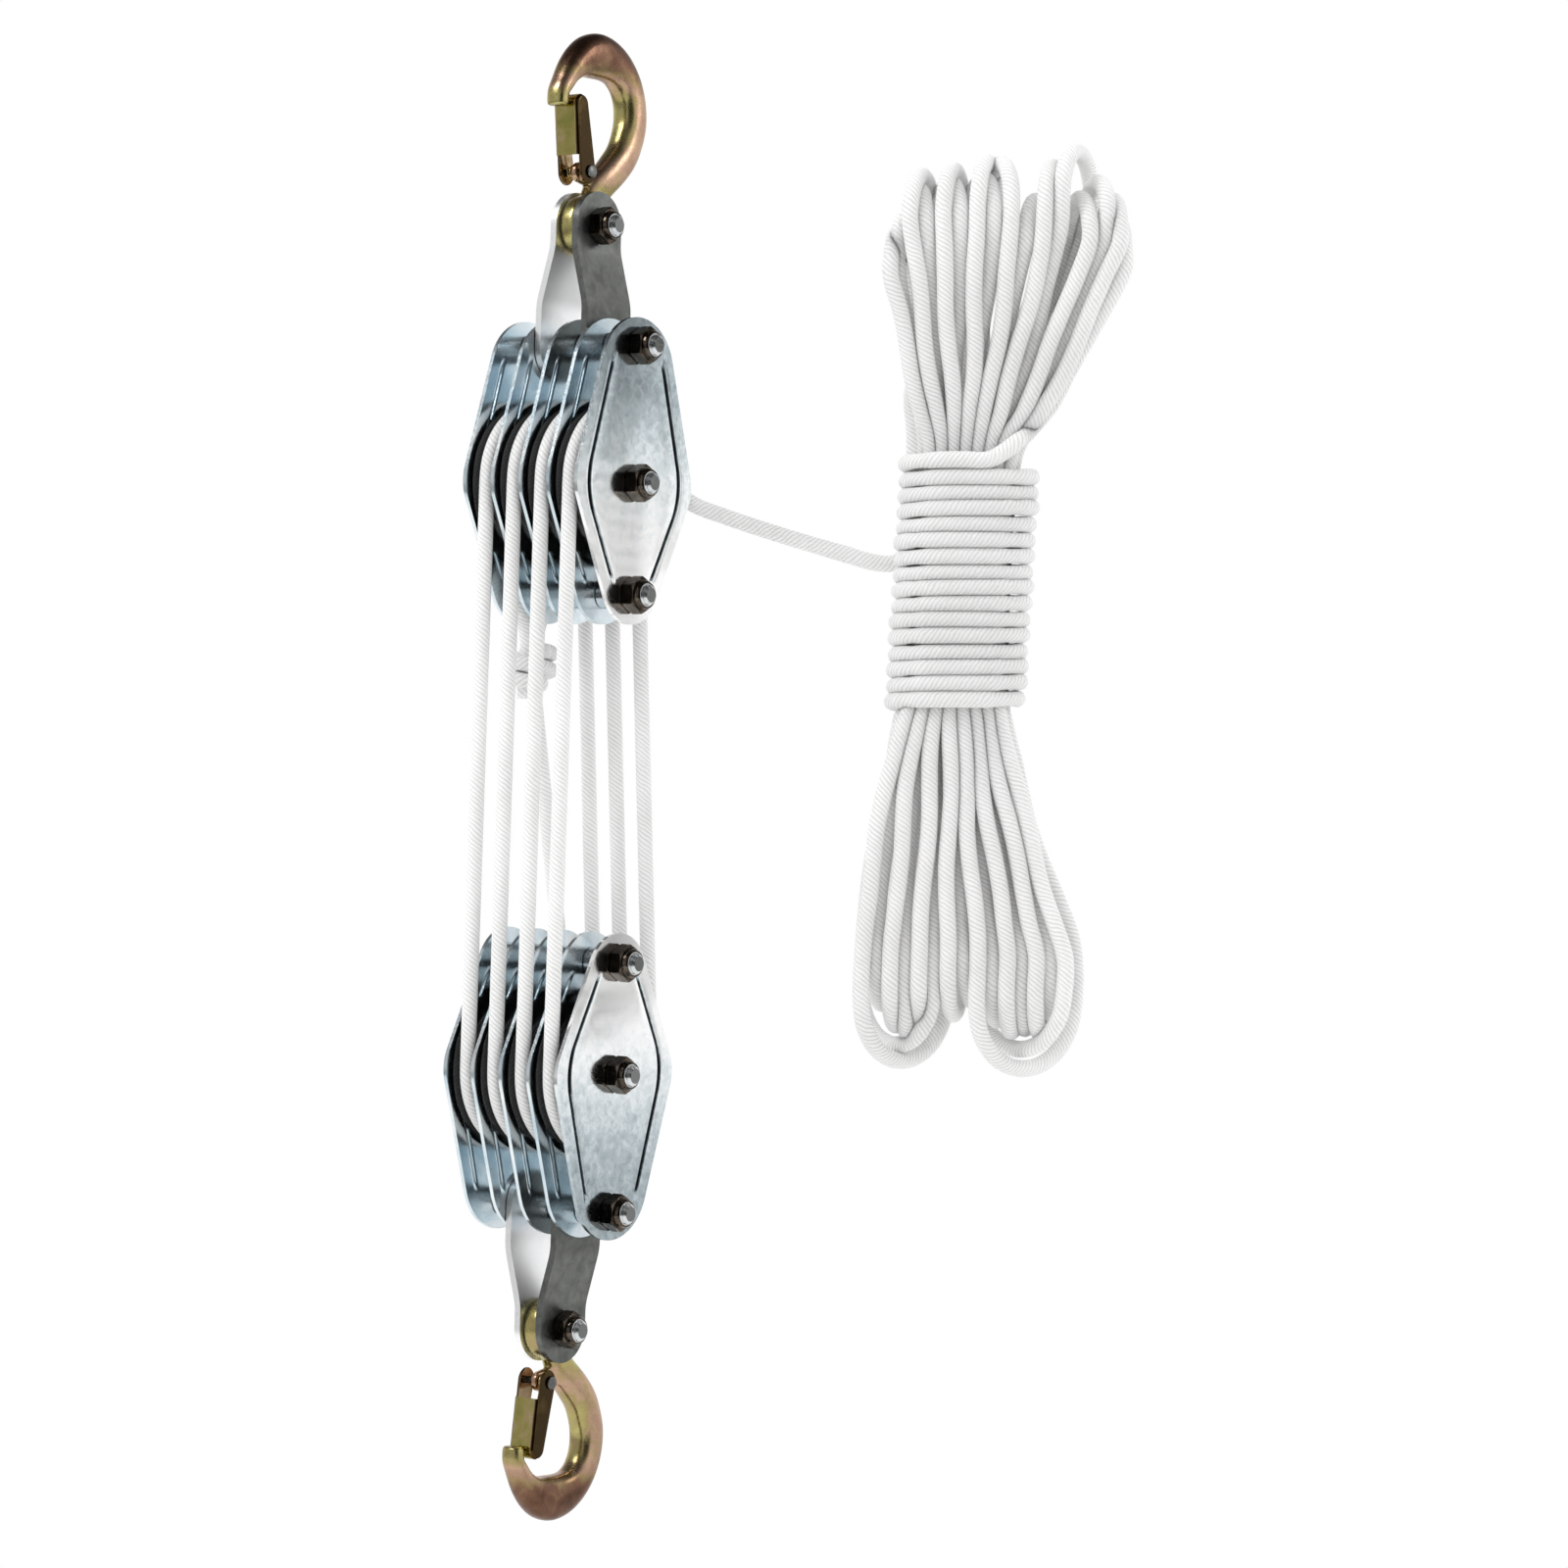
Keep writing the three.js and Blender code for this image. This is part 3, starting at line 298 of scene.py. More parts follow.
@dataclass(frozen=True)
class BraidedRope(Finish):
    """Braided polyester rope.

    The strands of the cover lie slantwise round the rope, so the eye sees a close row of soft diagonal strokes, the
    crown of each strand painted light and the seams between them painted a little greyer as painted shade, and a
    faint fuzz of fibres over all.
    """

    # The crown colour is painted light and the seam colour painted shade in the braid's creases
    crown: str = "#F8F8F7"
    flank: str = "#E8E8E7"
    seam_shade: str = "#C2C2C1"
    starts: int = 7
    stroke_mm: float = 1.8
    wander_strokes: float = 3.0
    wander: float = 0.9
    ridge_shade_share: float = 0.7
    fibre_mm: float = 0.3
    fibre_share: float = 0.45
    depth_mm: float = 0.16
    crown_power: float = 0.7
    fuzz: float = 0.3
    soil_mm: float = 30.0
    soiled: str = "#F2F2F2"
    scatter_mm: float = 7.0
    roughness: float = 0.85

    def shade(self, tree: bpy.types.NodeTree) -> bpy.types.Node:
        """Lays out the strokes in the rope's own coordinates, U along it in metres and V once round it.

        Args:
            tree: The material's node tree.

        Returns:
            The shader node.
        """
        def maths(operation: str, first: Any, second: Any = None) -> Any:
            """Adds a math node.

            Args:
                operation: Blender's name of the operation.
                first: Its first term, a socket or a number.
                second: Its second term, if it has one.

            Returns:
                The output socket.
            """
            terms = {0: first, 1: second}
            numbers = {k: v for k, v in terms.items() if isinstance(v, (int, float))}
            sockets = {k: v for k, v in terms.items() if v is not None and k not in numbers}
            return add_node(tree, "ShaderNodeMath", {"operation": operation, **numbers}, sockets).outputs[0]

        lay = add_node(tree, "ShaderNodeUVMap", {"uv_map": ROPE_LAY}).outputs["UV"]
        apart = add_node(tree, "ShaderNodeSeparateXYZ", links={"Vector": lay})
        place = add_node(tree, "ShaderNodeTexCoord").outputs["Object"]
        wander = add_node(tree, "ShaderNodeTexNoise", {"Scale": per_metre(self.stroke_mm * self.wander_strokes),
                                                      "Detail": 1.0}, {"Vector": place})
        along = maths("MULTIPLY", apart.outputs["X"], per_metre(self.stroke_mm))
        round_it = maths("MULTIPLY", apart.outputs["Y"], float(self.starts))
        phase = maths("ADD", maths("ADD", round_it, along), maths("MULTIPLY", wander.outputs["Fac"], self.wander))
        ridge = maths("SINE", maths("MULTIPLY", maths("FRACT", phase), math.pi))
        fibre = add_node(tree, "ShaderNodeTexNoise", {"Scale": per_metre(self.fibre_mm), "Detail": 2.0},
                         {"Vector": place})
        soil = add_node(tree, "ShaderNodeTexNoise", {"Scale": per_metre(self.soil_mm), "Detail": 3.0},
                        {"Vector": place})
        # Painted shade: the seams between the strands are coloured greyer than the crowns, with the fibre noise over
        # it
        strand_shade_and_fibre = maths("ADD", maths("MULTIPLY", ridge, self.ridge_shade_share),
                     maths("MULTIPLY", fibre.outputs["Fac"], self.fibre_share))
        tone = add_node(tree, "ShaderNodeValToRGB", {"stops": (
            (0.12, self.seam_shade), (0.5, self.flank), (0.9, self.crown))}, {"Fac": strand_shade_and_fibre})
        patch = add_node(tree, "ShaderNodeValToRGB", {"stops": ((0.3, self.soiled), (0.7, WHITE))},
                         {"Fac": soil.outputs["Fac"]})
        colour = add_node(tree, "ShaderNodeMix", {"data_type": "RGBA", "blend_type": "MULTIPLY", 0: 1.0},
                          {6: tone.outputs["Color"], 7: patch.outputs["Color"]})
        relief = maths("ADD", maths("POWER", ridge, self.crown_power),
                       maths("MULTIPLY", fibre.outputs["Fac"], self.fuzz))
        bump = add_node(tree, "ShaderNodeBump", {"Strength": 0.8, "Distance": self.depth_mm * MM},
                        {"Height": relief})
        return add_node(tree, "ShaderNodeBsdfPrincipled", {
            "Roughness": self.roughness, "IOR": 1.5, "Specular IOR Level": 0.25, "Sheen Weight": 0.15,
            "Sheen Roughness": 0.5, "Subsurface Weight": 0.9, "Subsurface Scale": self.scatter_mm * MM,
            "Subsurface Radius": (1.0, 1.0, 1.0)}, {"Base Color": colour.outputs[2], "Normal": bump.outputs["Normal"]})


@dataclass(frozen=True)
class StudioPaper(Finish):
    """Matt seamless paper: plain, pale, and white behind the object, with the object's shadow on it."""

    tone: str = "#F4F4F3"

    def shade(self, tree: bpy.types.NodeTree) -> bpy.types.Node:
        """Returns a matt shader of one pale colour."""
        return add_node(tree, "ShaderNodeBsdfPrincipled", {"Base Color": linear(self.tone), "Roughness": 0.9,
                                                           "Specular IOR Level": 0.1})


class Finishes(Enum):
    """The finishes of this tackle, each from what the real piece is."""

    # Bright zinc plate on the front sheet: a clear mirror with the fine spangle of the plating, a painted reflection
    # greyest towards the hook and brightest towards the rope, and painted shade dark in the pressed beads
    BRIGHT_ZINC = PlatedSteel("bright_zinc_sheet", "bright_zinc", (
        (0.28, WHITE), (0.4, "#F5F8F9"), (0.55, "#DCE4E7"), (0.7, "#BAC5CA"), (0.9, "#8F9CA2"), (1.0, "#2A2F32")),
        patch_mm=3.4, smooth=0.08, rough=0.17, uses_film_and_painted_light=True)
    # Blue-passivated zinc on the sheets inside: the same mirror with a cold blue film
    BLUE_ZINC = PlatedSteel("blue_zinc_sheet", "bright_zinc", (
        (0.3, "#C2D3DD"), (0.5, "#DCE8EE"), (0.7, "#F1F6F8")), patch_mm=18.0)
    # Zinc plate on bolts and sleeves: a bright grey mirror with soft highlights on the shanks, and a dull dark end
    # where the plating is thick
    DULL_ZINC = PlatedSteel("zinc_bolt", "dull_zinc", (
        (0.15, "#C6CBCE"), (0.35, "#E9ECEE"), (0.8, "#7C7F7D")), smooth=0.16, rough=0.3, uses_film_and_painted_light=True)
    # Bright zinc plate on the tumbled bar of the rear strap, coloured nearly white as a painted highlight, with wide
    # soft highlights
    WHITE_ZINC = PlatedSteel("bright_zinc_bar", "bright_zinc", (
        (0.3, "#F8FAFB"), (0.7, WHITE)), smooth=0.3, rough=0.42)
    # Phosphated steel of the front strap and the latch's rivet: a dim grey mirror with a dry, even grain
    DARK_BAR = PlatedSteel("phosphated_bar", "dull_zinc", (
        (0.3, "#5F615F"), (0.7, "#787A77")), patch_mm=5.0, smooth=0.28, rough=0.42)
    # Yellow chromate on a drop forging: olive gold where the film is thin, over tan and rose to a deep bronze brown
    # where it is thick, like an oil film; the film also carries painted shade dark over the crown, a painted highlight
    # light in the bowl and a painted reflection light at the tip
    YELLOW_FORGING = PlatedSteel("yellow_chromate_forging", "yellow_zinc", (
        (0.12, "#D3C995"), (0.24, "#B1A86C"), (0.36, "#A89669"), (0.46, "#BF9F84"), (0.56, "#AE8D78"),
        (0.66, "#9C8560"), (0.8, "#7A5B49"), (0.95, "#5E4336")),
        patch_mm=9.0, wave_mm=5.0, wave_depth_mm=0.04, smooth=0.2, rough=0.32, uses_film_and_painted_light=True)
    # Yellow chromate on thin sheet: deeper olive and tan, brown on the flanges, a tighter mirror than the forging
    YELLOW_SHEET = PlatedSteel("yellow_chromate_sheet", "yellow_sheet", (
        (0.15, "#8E8B4A"), (0.25, "#A59A5C"), (0.34, "#BFA587"), (0.5, "#6B5836"), (0.75, "#43341F")),
        patch_mm=9.0, smooth=0.1, rough=0.2, uses_film_and_painted_light=True)
    # Drawn spring wire, yellow passivated: bright thin gold lines
    SPRING_WIRE = PlatedSteel("passivated_spring_wire", "spring_wire", (
        (0.3, "#B79C55"), (0.7, "#E3CF93")), patch_mm=3.0, smooth=0.14, rough=0.24)
    # Blackened lock nut: near-black bronze whose edges and flats throw crisp small highlights
    BLACK_NUT = PlatedSteel("blackened_nut", "nut_steel", (
        (0.3, "#28231F"), (0.7, "#6A6055")), patch_mm=4.0, smooth=0.06, rough=0.14)
    # Nylon insert of the lock nut: a pale waxy ring round the thread
    NYLON_INSERT = MouldedPlastic("nylon_insert", "nut_steel", "#C9CCCB", "#DFE1E0", grain_mm=0.3)
    # Glass-filled nylon sheave: black with a polished rim and a faint moulded grain
    BLACK_NYLON = MouldedPlastic("black_moulded_nylon", "black_sheave", "#070808", "#111213", smooth=0.08,
                                 rough=0.18, grain_depth_mm=0.005)
    # Braided polyester rope, light grey
    GREY_ROPE = BraidedRope("braided_polyester_rope", "grey_rope")
    # The heat-sealed end of the rope: the same polyester melted smooth
    SEALED_END = MouldedPlastic("melted_rope_end", "grey_rope", "#A9A8A6", "#C6C5C2", grain_mm=0.8)


class FinishShelf:
    """Keeps each finish's one material."""

    def __init__(self) -> None:
        """Starts with no material made."""
        self.made: dict[Finishes, bpy.types.Material] = {}

    def take(self, finish: Finishes) -> bpy.types.Material:
        """Returns the material of a finish, made at its first use.

        Args:
            finish: The finish.

        Returns:
            Its one material.
        """
        if finish not in self.made:
            self.made[finish] = finish.value.make()
        return self.made[finish]


# Mesh code


@dataclass
class Draft:
    """A mesh being drawn: its points in millimetres, its faces, and each face's texture places if it has them."""

    points: list[Vector] = field(default_factory=list)
    faces: list[tuple[int, ...]] = field(default_factory=list)
    lays: list[list[Pair]] = field(default_factory=list)

    def add_rings(self, rings: Sequence[Sequence[Vector]], closed: bool = True, capped: bool = True,
                  lengths: Sequence[float] | None = None) -> None:
        """Adds a skin over a row of rings with as many points each.

        Args:
            rings: The rings, in order.
            closed: Whether each ring runs round to its own start.
            capped: Whether the first and last ring are closed by a face.
            lengths: The place of each ring along a rope, in millimetres.
        """
        first = len(self.points)
        count = len(rings[0])
        for ring in rings:
            self.points.extend(ring)
        for i in range(len(rings) - 1):
            for k in range(count if closed else count - 1):
                a = first + i * count + k
                b = first + i * count + (k + 1) % count
                self.faces.append((a, b, b + count, a + count))
                if lengths:
                    low, high = lengths[i] * MM, lengths[i + 1] * MM
                    self.lays.append([(low, k / count), (low, (k + 1) / count), (high, (k + 1) / count),
                                      (high, k / count)])
        if capped:
            last = first + (len(rings) - 1) * count
            for cap, at in ((tuple(reversed(range(first, first + count))), 0),
                            (tuple(range(last, last + count)), -1)):
                self.faces.append(cap)
                if lengths:
                    self.lays.append([(lengths[at] * MM, 0.5)] * count)

    def make(self, name: str, place: Matrix, sharp_deg: float = SHARP_DEG) -> bpy.types.Object:
        """Makes the object, its shape set at its place.

        Args:
            name: The piece's name.
            place: Where the draft's frame lies in the tackle, in millimetres.
            sharp_deg: Edges that turn more than this stay sharp.

        Returns:
            The object, linked to the scene.
        """
        mesh = bpy.data.meshes.new(name)
        mesh.from_pydata([(place @ p) * MM for p in self.points], [], self.faces)
        if self.lays:
            layer = mesh.uv_layers.new(name=ROPE_LAY)
            flat = [value for lay in self.lays for pair in lay for value in pair]
            layer.data.foreach_set("uv", flat)
        mesh.validate()
        if not self.lays:
            work = bmesh.new()
            work.from_mesh(mesh)
            bmesh.ops.remove_doubles(work, verts=work.verts, dist=WELD_MM * MM)
            bmesh.ops.recalc_face_normals(work, faces=work.faces)
            work.to_mesh(mesh)
            work.free()
        mesh.shade_smooth()
        mesh.set_sharp_from_angle(angle=math.radians(sharp_deg))
        made = bpy.data.objects.new(name, mesh)
        bpy.context.scene.collection.objects.link(made)
        return made


def lay_film_and_painted_light(piece: bpy.types.Object, thickness: Callable[[Vector], float]) -> None:
    """Writes the coloured film of a plated piece at each of its points, with any painted shade, painted reflection and
    painted highlight that the piece carries in it.

    Args:
        piece: The piece, its mesh still in the frame of the function, in metres.
        thickness: The film, with any painted light, from 0 to 1 at a point in millimetres.
    """
    layer = piece.data.attributes.new(FILM_AND_PAINTED_LIGHT, "FLOAT", "POINT")
    layer.data.foreach_set("value", [thickness(point.co / MM) for point in piece.data.vertices])


def applied(piece: bpy.types.Object, sharp_deg: float = SHARP_DEG) -> bpy.types.Object:
    """Turns a piece's modifiers into plain mesh.

    Args:
        piece: The object with modifiers.
        sharp_deg: Edges that turn more than this stay sharp.

    Returns:
        The same object, with no modifier left.
    """
    bpy.context.view_layer.update()
    shown = piece.evaluated_get(bpy.context.evaluated_depsgraph_get())
    mesh = bpy.data.meshes.new_from_object(shown)
    piece.modifiers.clear()
    old = piece.data
    piece.data = mesh
    bpy.data.meshes.remove(old)
    mesh.shade_smooth()
    mesh.set_sharp_from_angle(angle=math.radians(sharp_deg))
    return piece


def sheet_metal(piece: bpy.types.Object, thickness_mm: float, edge_mm: float) -> bpy.types.Object:
    """Gives a sheet's middle surface its thickness and eased edges.

    Args:
        piece: The middle surface.
        thickness_mm: The sheet's thickness.
        edge_mm: The width of the broken edge.

    Returns:
        The same object, as plain mesh.
    """
    thick = piece.modifiers.new("thickness", "SOLIDIFY")
    thick.thickness = thickness_mm * MM
    thick.offset = 0.0
    thick.use_even_offset = True
    edge = piece.modifiers.new("edges", "BEVEL")
    edge.width = edge_mm * MM
    edge.segments = 3
    edge.limit_method = "ANGLE"
    edge.angle_limit = math.radians(50)
    level = piece.modifiers.new("level faces", "WEIGHTED_NORMAL")
    level.mode = "FACE_AREA"
    level.weight = 80
    return applied(piece, SHEET_SHARP_DEG)


def hull_span(circles: Sequence[Triple], z: float) -> Pair:
    """Finds where the outline round a row of circles is crossed at one height.

    Args:
        circles: Their Y, Z and radius, each next to its neighbour in the outline.
        z: The height.

    Returns:
        The least and the greatest Y there.
    """
    low, high = math.inf, -math.inf
    steps = 96
    pairs = list(zip(circles, circles[1:])) or [(circles[0], circles[0])]
    for a, b in pairs:
        for k in range(steps + 1):
            y, level, radius = (blend_values(a[j], b[j], k / steps) for j in range(3))
            if abs(z - level) < radius:
                reach = math.sqrt(radius * radius - (z - level) ** 2)
                low, high = min(low, y - reach), max(high, y + reach)
    return low, high


def turned(profile: Sequence[Pair], segments: int) -> list[list[Vector]]:
    """Turns a profile about the X axis.

    Args:
        profile: Pairs of X and radius.
        segments: Points in each ring.

    Returns:
        One ring for each pair.
    """
    return [[Vector((x, r * math.cos(math.tau * k / segments), r * math.sin(math.tau * k / segments)))
             for k in range(segments)] for x, r in profile]


def smooth_path(corners: Sequence[Vector], step_mm: float) -> list[Vector]:
    """Draws a smooth curve through given points, a centripetal spline.

    Args:
        corners: The points.
        step_mm: About how far apart the drawn points lie.

    Returns:
        The drawn points, from the first corner to the last.
    """
    ends = [corners[0] * 2 - corners[1], *corners, corners[-1] * 2 - corners[-2]]
    drawn: list[Vector] = []
    for a, b, c, d in zip(ends, ends[1:], ends[2:], ends[3:]):
        gaps = [max(TINY, math.sqrt((q - p).length)) for p, q in ((a, b), (b, c), (c, d))]
        t1 = gaps[0]
        t2 = t1 + gaps[1]
        t3 = t2 + gaps[2]
        count = max(1, round((c - b).length / step_mm))
        for k in range(count):
            t = t1 + (t2 - t1) * k / count
            a1 = a * ((t1 - t) / t1) + b * (t / t1)
            a2 = b * ((t2 - t) / (t2 - t1)) + c * ((t - t1) / (t2 - t1))
            a3 = c * ((t3 - t) / (t3 - t2)) + d * ((t - t2) / (t3 - t2))
            b1 = a1 * ((t2 - t) / t2) + a2 * (t / t2)
            b2 = a2 * ((t3 - t) / (t3 - t1)) + a3 * ((t - t1) / (t3 - t1))
            drawn.append(b1 * ((t2 - t) / (t2 - t1)) + b2 * ((t - t1) / (t2 - t1)))
    drawn.append(corners[-1].copy())
    return drawn


def tube_rings(points: Sequence[Vector], radius: Callable[[int], float], sides: int) -> tuple[
        list[list[Vector]], list[float]]:
    """Sets rings square to a path, without twist.

    Args:
        points: The path.
        radius: The tube's radius at each point of the path, by its place in the row.
        sides: Points in each ring.

    Returns:
        The rings, and the length of the path up to each.
    """
    tangents = []
    for i, point in enumerate(points):
        before = points[max(0, i - 1)]
        after = points[min(len(points) - 1, i + 1)]
        tangents.append((after - before).normalized())
    helper = Vector((1, 0, 0)) if abs(tangents[0].x) < 0.9 else Vector((0, 1, 0))
    normal = helper.cross(tangents[0]).normalized()
    rings, lengths, run = [], [], 0.0
    for i, point in enumerate(points):
        if i:
            normal = tangents[i - 1].rotation_difference(tangents[i]) @ normal
            run += (point - points[i - 1]).length
        side = tangents[i].cross(normal)
        reach = radius(i)
        rings.append([point + normal * (reach * math.cos(math.tau * k / sides)) +
                      side * (reach * math.sin(math.tau * k / sides)) for k in range(sides)])
        lengths.append(run)
    return rings, lengths


# Sizes that several pieces share, in millimetres


@dataclass(frozen=True)
class Stack:
    """Sizes of the plates, bays and bolts, from the source of the solids."""

    seat_gap: float = 0.3
    rope: float = 6.0
    rope_pitch: float = 6.6
    plates: int = 5
    pitch: float = 14.0
    sheet: float = 1.6
    sheave_pitch_radius: float = 30.0
    sheave_radius: float = 33.0
    bolt: float = 4.0
    across_flats: float = 13.0
    hook_bolt_z: float = 53.5
    rope_bolt_z: float = -43.5
    eye_bolt_z: float = 101.0
    sleeve: float = 5.5
    bearing: float = 6.0
    upper_axle_z: float = -163.5
    lower_axle_z: float = -393.5
    leave_angle: float = 0.61
    lift: float = 85.0

    def plate_x(self, i: int) -> float:
        """Returns the middle of a plate, counted from the rear."""
        return (i - (self.plates - 1) / 2) * self.pitch

    def bay_x(self, i: int) -> float:
        """Returns the middle of a bay, counted from the rear."""
        return self.plate_x(i) + self.pitch / 2

    @property
    def bay(self) -> float:
        """Returns the clear width of a bay."""
        return self.pitch - self.sheet

    @property
    def outer_face(self) -> float:
        """Returns the outer face of the front plate."""
        return self.plate_x(self.plates - 1) + self.sheet / 2


STACK = Stack()


class End(Enum):
    """The two ends of the tackle, with the place of each end's block and hook frames."""

    UPPER = "upper"
    LOWER = "lower"

    @property
    def block_place(self) -> Matrix:
        """The place of the block's frame: the lower block is turned over about X.

        Returns:
            The placement, its shift in millimetres.
        """
        if self is End.UPPER:
            return Matrix.Translation((0, 0, STACK.upper_axle_z))
        return Matrix.Translation((0, 0, STACK.lower_axle_z)) @ Matrix.Rotation(math.pi, 4, "X")

    @property
    def hook_place(self) -> Matrix:
        """The place of the hook's frame: the lower hook is turned over about Y.

        Returns:
            The placement, its shift in millimetres.
        """
        if self is End.UPPER:
            return Matrix.Translation((0, 0, STACK.upper_axle_z + STACK.eye_bolt_z))
        return (Matrix.Translation((0, 0, STACK.lower_axle_z - STACK.eye_bolt_z)) @
                Matrix.Rotation(math.pi, 4, "Y"))


@dataclass
class SubAssembly:
    """What every sub-assembly has: the shelf of finishes and a way to dress a piece."""

    shelf: FinishShelf

    def dress(self, piece: bpy.types.Object, finish: Finishes, body: str | None, *nodes: str) -> bpy.types.Object:
        """Gives a piece its finish, its body and the nodes that it stands for.

        Args:
            piece: The object.
            finish: Its finish.
            body: The body that it rides on, or None where it is tied to none.
            *nodes: The solids that it replaces.

        Returns:
            The same object.
        """
        piece.data.materials.clear()
        piece.data.materials.append(self.shelf.take(finish))
        if body:
            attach(piece, body)
        if nodes:
            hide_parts(*nodes)
        log.info("piece %s: %d faces, %s", piece.name, len(piece.data.polygons), finish.value.name)
        return piece


@dataclass
class EndAssembly(SubAssembly):
    """A sub-assembly that each end of the tackle has."""

    end: End = End.UPPER

    def name(self, part: str) -> str:
        """Returns a piece's name with its end before it."""
        return f"{self.end.value}_{part}"


# Camera and light


@dataclass
class Studio:
    """A hanging object in front of pale paper, under large soft lamps, and the camera at the photograph's place."""

    azimuth: Pair = (0.6, 0.8)
    roll_deg: float = 1.9
    focal_pixels: float = 4680.0
    pixels_per_mm: float = 2.6
    axle_pixel: Pair = (589.5, 494.0)
    sensor_mm: float = 36.0
    clip_m: Pair = (0.05, 50.0)
    lamp_aim: Triple = (0.05, 0.03, -0.28)
    lamps: tuple[tuple[str, Triple, float, float], ...] = (
        ("key_lamp", (-0.75, -1.35, 1.15), 0.8, 15.0),
        ("back_lamp", (1.5, 1.2, 0.6), 0.6, 4.0),
        ("low_lamp", (-1.2, -0.6, -1.3), 0.6, 4.0))
    floor_drop_mm: float = 420.0
    floor_radius_mm: float = 1900.0
    floor_sides: int = 128
    world_level: float = 0.9
    band: Stops = (
        (0.0, "#A8A8A8"), (0.36, "#B8B8B8"), (0.44, "#E0E0E0"), (0.475, WHITE), (0.53, WHITE), (0.6, "#F6F6F6"),
        (0.7, "#E0E0E0"), (0.8, "#8C8C8C"), (0.92, "#404040"))
    dark_side: Triple = (0.8, -0.6, 0.0)
    dark_span: Pair = (0.76, 0.95)
    dark_level: float = 0.05
    front_side: Triple = (0.0, -1.0, 0.0)
    front_span: Pair = (-0.1, 0.8)
    front_level: float = 0.6

    def build(self) -> None:
        """Makes the camera, the lamps, the world and the floor."""
        self.set_camera()
        self.set_lamps()
        self.set_world()
        self.set_floor()

    def set_camera(self) -> None:
        """Sets the camera at the height and side of the photograph, level, with its small roll."""
        sine, cosine = self.azimuth
        across = Vector((cosine, sine, 0))
        toward = Vector((sine, -cosine, 0))
        roll = math.radians(self.roll_deg)
        right = across * math.cos(roll) + Vector((0, 0, 1)) * math.sin(roll)
        up = Vector((0, 0, 1)) * math.cos(roll) - across * math.sin(roll)
        centre = PHOTO_PIXELS / 2
        offset_right = (centre - self.axle_pixel[0]) / self.pixels_per_mm
        offset_up = (self.axle_pixel[1] - centre) / self.pixels_per_mm
        aim = Vector((0, 0, STACK.upper_axle_z)) + right * offset_right + up * offset_up
        place = (aim + toward * (self.focal_pixels / self.pixels_per_mm)) * MM
        data = bpy.data.cameras.new("photo_camera")
        data.sensor_width = self.sensor_mm
        data.lens = self.sensor_mm * self.focal_pixels / PHOTO_PIXELS
        data.clip_start, data.clip_end = self.clip_m
        camera = bpy.data.objects.new("photo_camera", data)
        camera.matrix_world = Matrix((
            (right.x, up.x, toward.x, place.x),
            (right.y, up.y, toward.y, place.y),
            (right.z, up.z, toward.z, place.z),
            (0, 0, 0, 1)))
        bpy.context.scene.collection.objects.link(camera)
        bpy.context.scene.camera = camera

    def add_lamp(self, name: str, place: Triple, size: float, power: float) -> None:
        """Adds one square soft lamp that faces the tackle's middle.

        Args:
            name: The lamp's name.
            place: Where it hangs, in metres.
            size: The side of its square, in metres.
            power: Its power in watts.
        """
        data = bpy.data.lights.new(name, "AREA")
        data.shape = "SQUARE"
        data.size = size
        data.energy = power
        lamp = bpy.data.objects.new(name, data)
        lamp.location = Vector(place)
        aim = Vector(self.lamp_aim) - lamp.location
        lamp.rotation_euler = aim.to_track_quat("-Z", "Y").to_euler()
        bpy.context.scene.collection.objects.link(lamp)

    def set_lamps(self) -> None:
        """Hangs the key high at the front left, a fill behind at the right and a low one at the left."""
        for name, place, size, power in self.lamps:
            self.add_lamp(name, place, size, power)

    def side_level(self, tree: bpy.types.NodeTree, way: bpy.types.NodeSocket, side: Triple,
                   span: Pair, level: float) -> bpy.types.NodeSocket:
        """Adds the nodes that dim the room to one side.

        Args:
            tree: The world's node tree.
            way: The socket of the direction.
            side: The direction of the side.
            span: How squarely a direction faces the side where the dimming starts and where it is full, from -1 to 1.
            level: The room's level there, where one is undimmed.

        Returns:
            The socket of the level.
        """
        facing = add_node(tree, "ShaderNodeVectorMath", {"operation": "DOT_PRODUCT", 1: side}, {0: way})
        return add_node(tree, "ShaderNodeMapRange", {
            "interpolation_type": "SMOOTHSTEP", "From Min": span[0], "From Max": span[1], "To Min": 1.0,
            "To Max": level}, {"Value": facing.outputs["Value"]}).outputs["Result"]

    def set_world(self) -> None:
        """Gives the room an even level, and a white background to the eye, to metal and to glass.

        Metal sees the white background round the horizon, a dimmer ceiling and ground above and below it, and the
        dark side of the studio beyond the camera's right.
        """
        world = bpy.data.worlds.new("studio_room")
        bpy.context.scene.world = world
        world.use_nodes = True
        tree = world.node_tree
        tree.nodes.clear()
        rays = add_node(tree, "ShaderNodeLightPath")
        way = add_node(tree, "ShaderNodeTexCoord").outputs["Generated"]
        height = add_node(tree, "ShaderNodeSeparateXYZ", links={"Vector": way}).outputs["Z"]
        height = add_node(tree, "ShaderNodeMapRange", {"From Min": -1.0, "From Max": 1.0}, {"Value": height})
        band = add_node(tree, "ShaderNodeValToRGB", {"stops": self.band}, {"Fac": height.outputs["Result"]})
        level = add_node(tree, "ShaderNodeMath", {"operation": "MULTIPLY"}, {
            0: self.side_level(tree, way, self.dark_side, self.dark_span, self.dark_level),
            1: self.side_level(tree, way, self.front_side, self.front_span, self.front_level)})
        seen = add_node(tree, "ShaderNodeMath", {"operation": "MAXIMUM"}, {
            0: rays.outputs["Is Camera Ray"], 1: rays.outputs["Is Transmission Ray"]})
        room = add_node(tree, "ShaderNodeBackground", {"Color": linear(WHITE), "Strength": self.world_level})
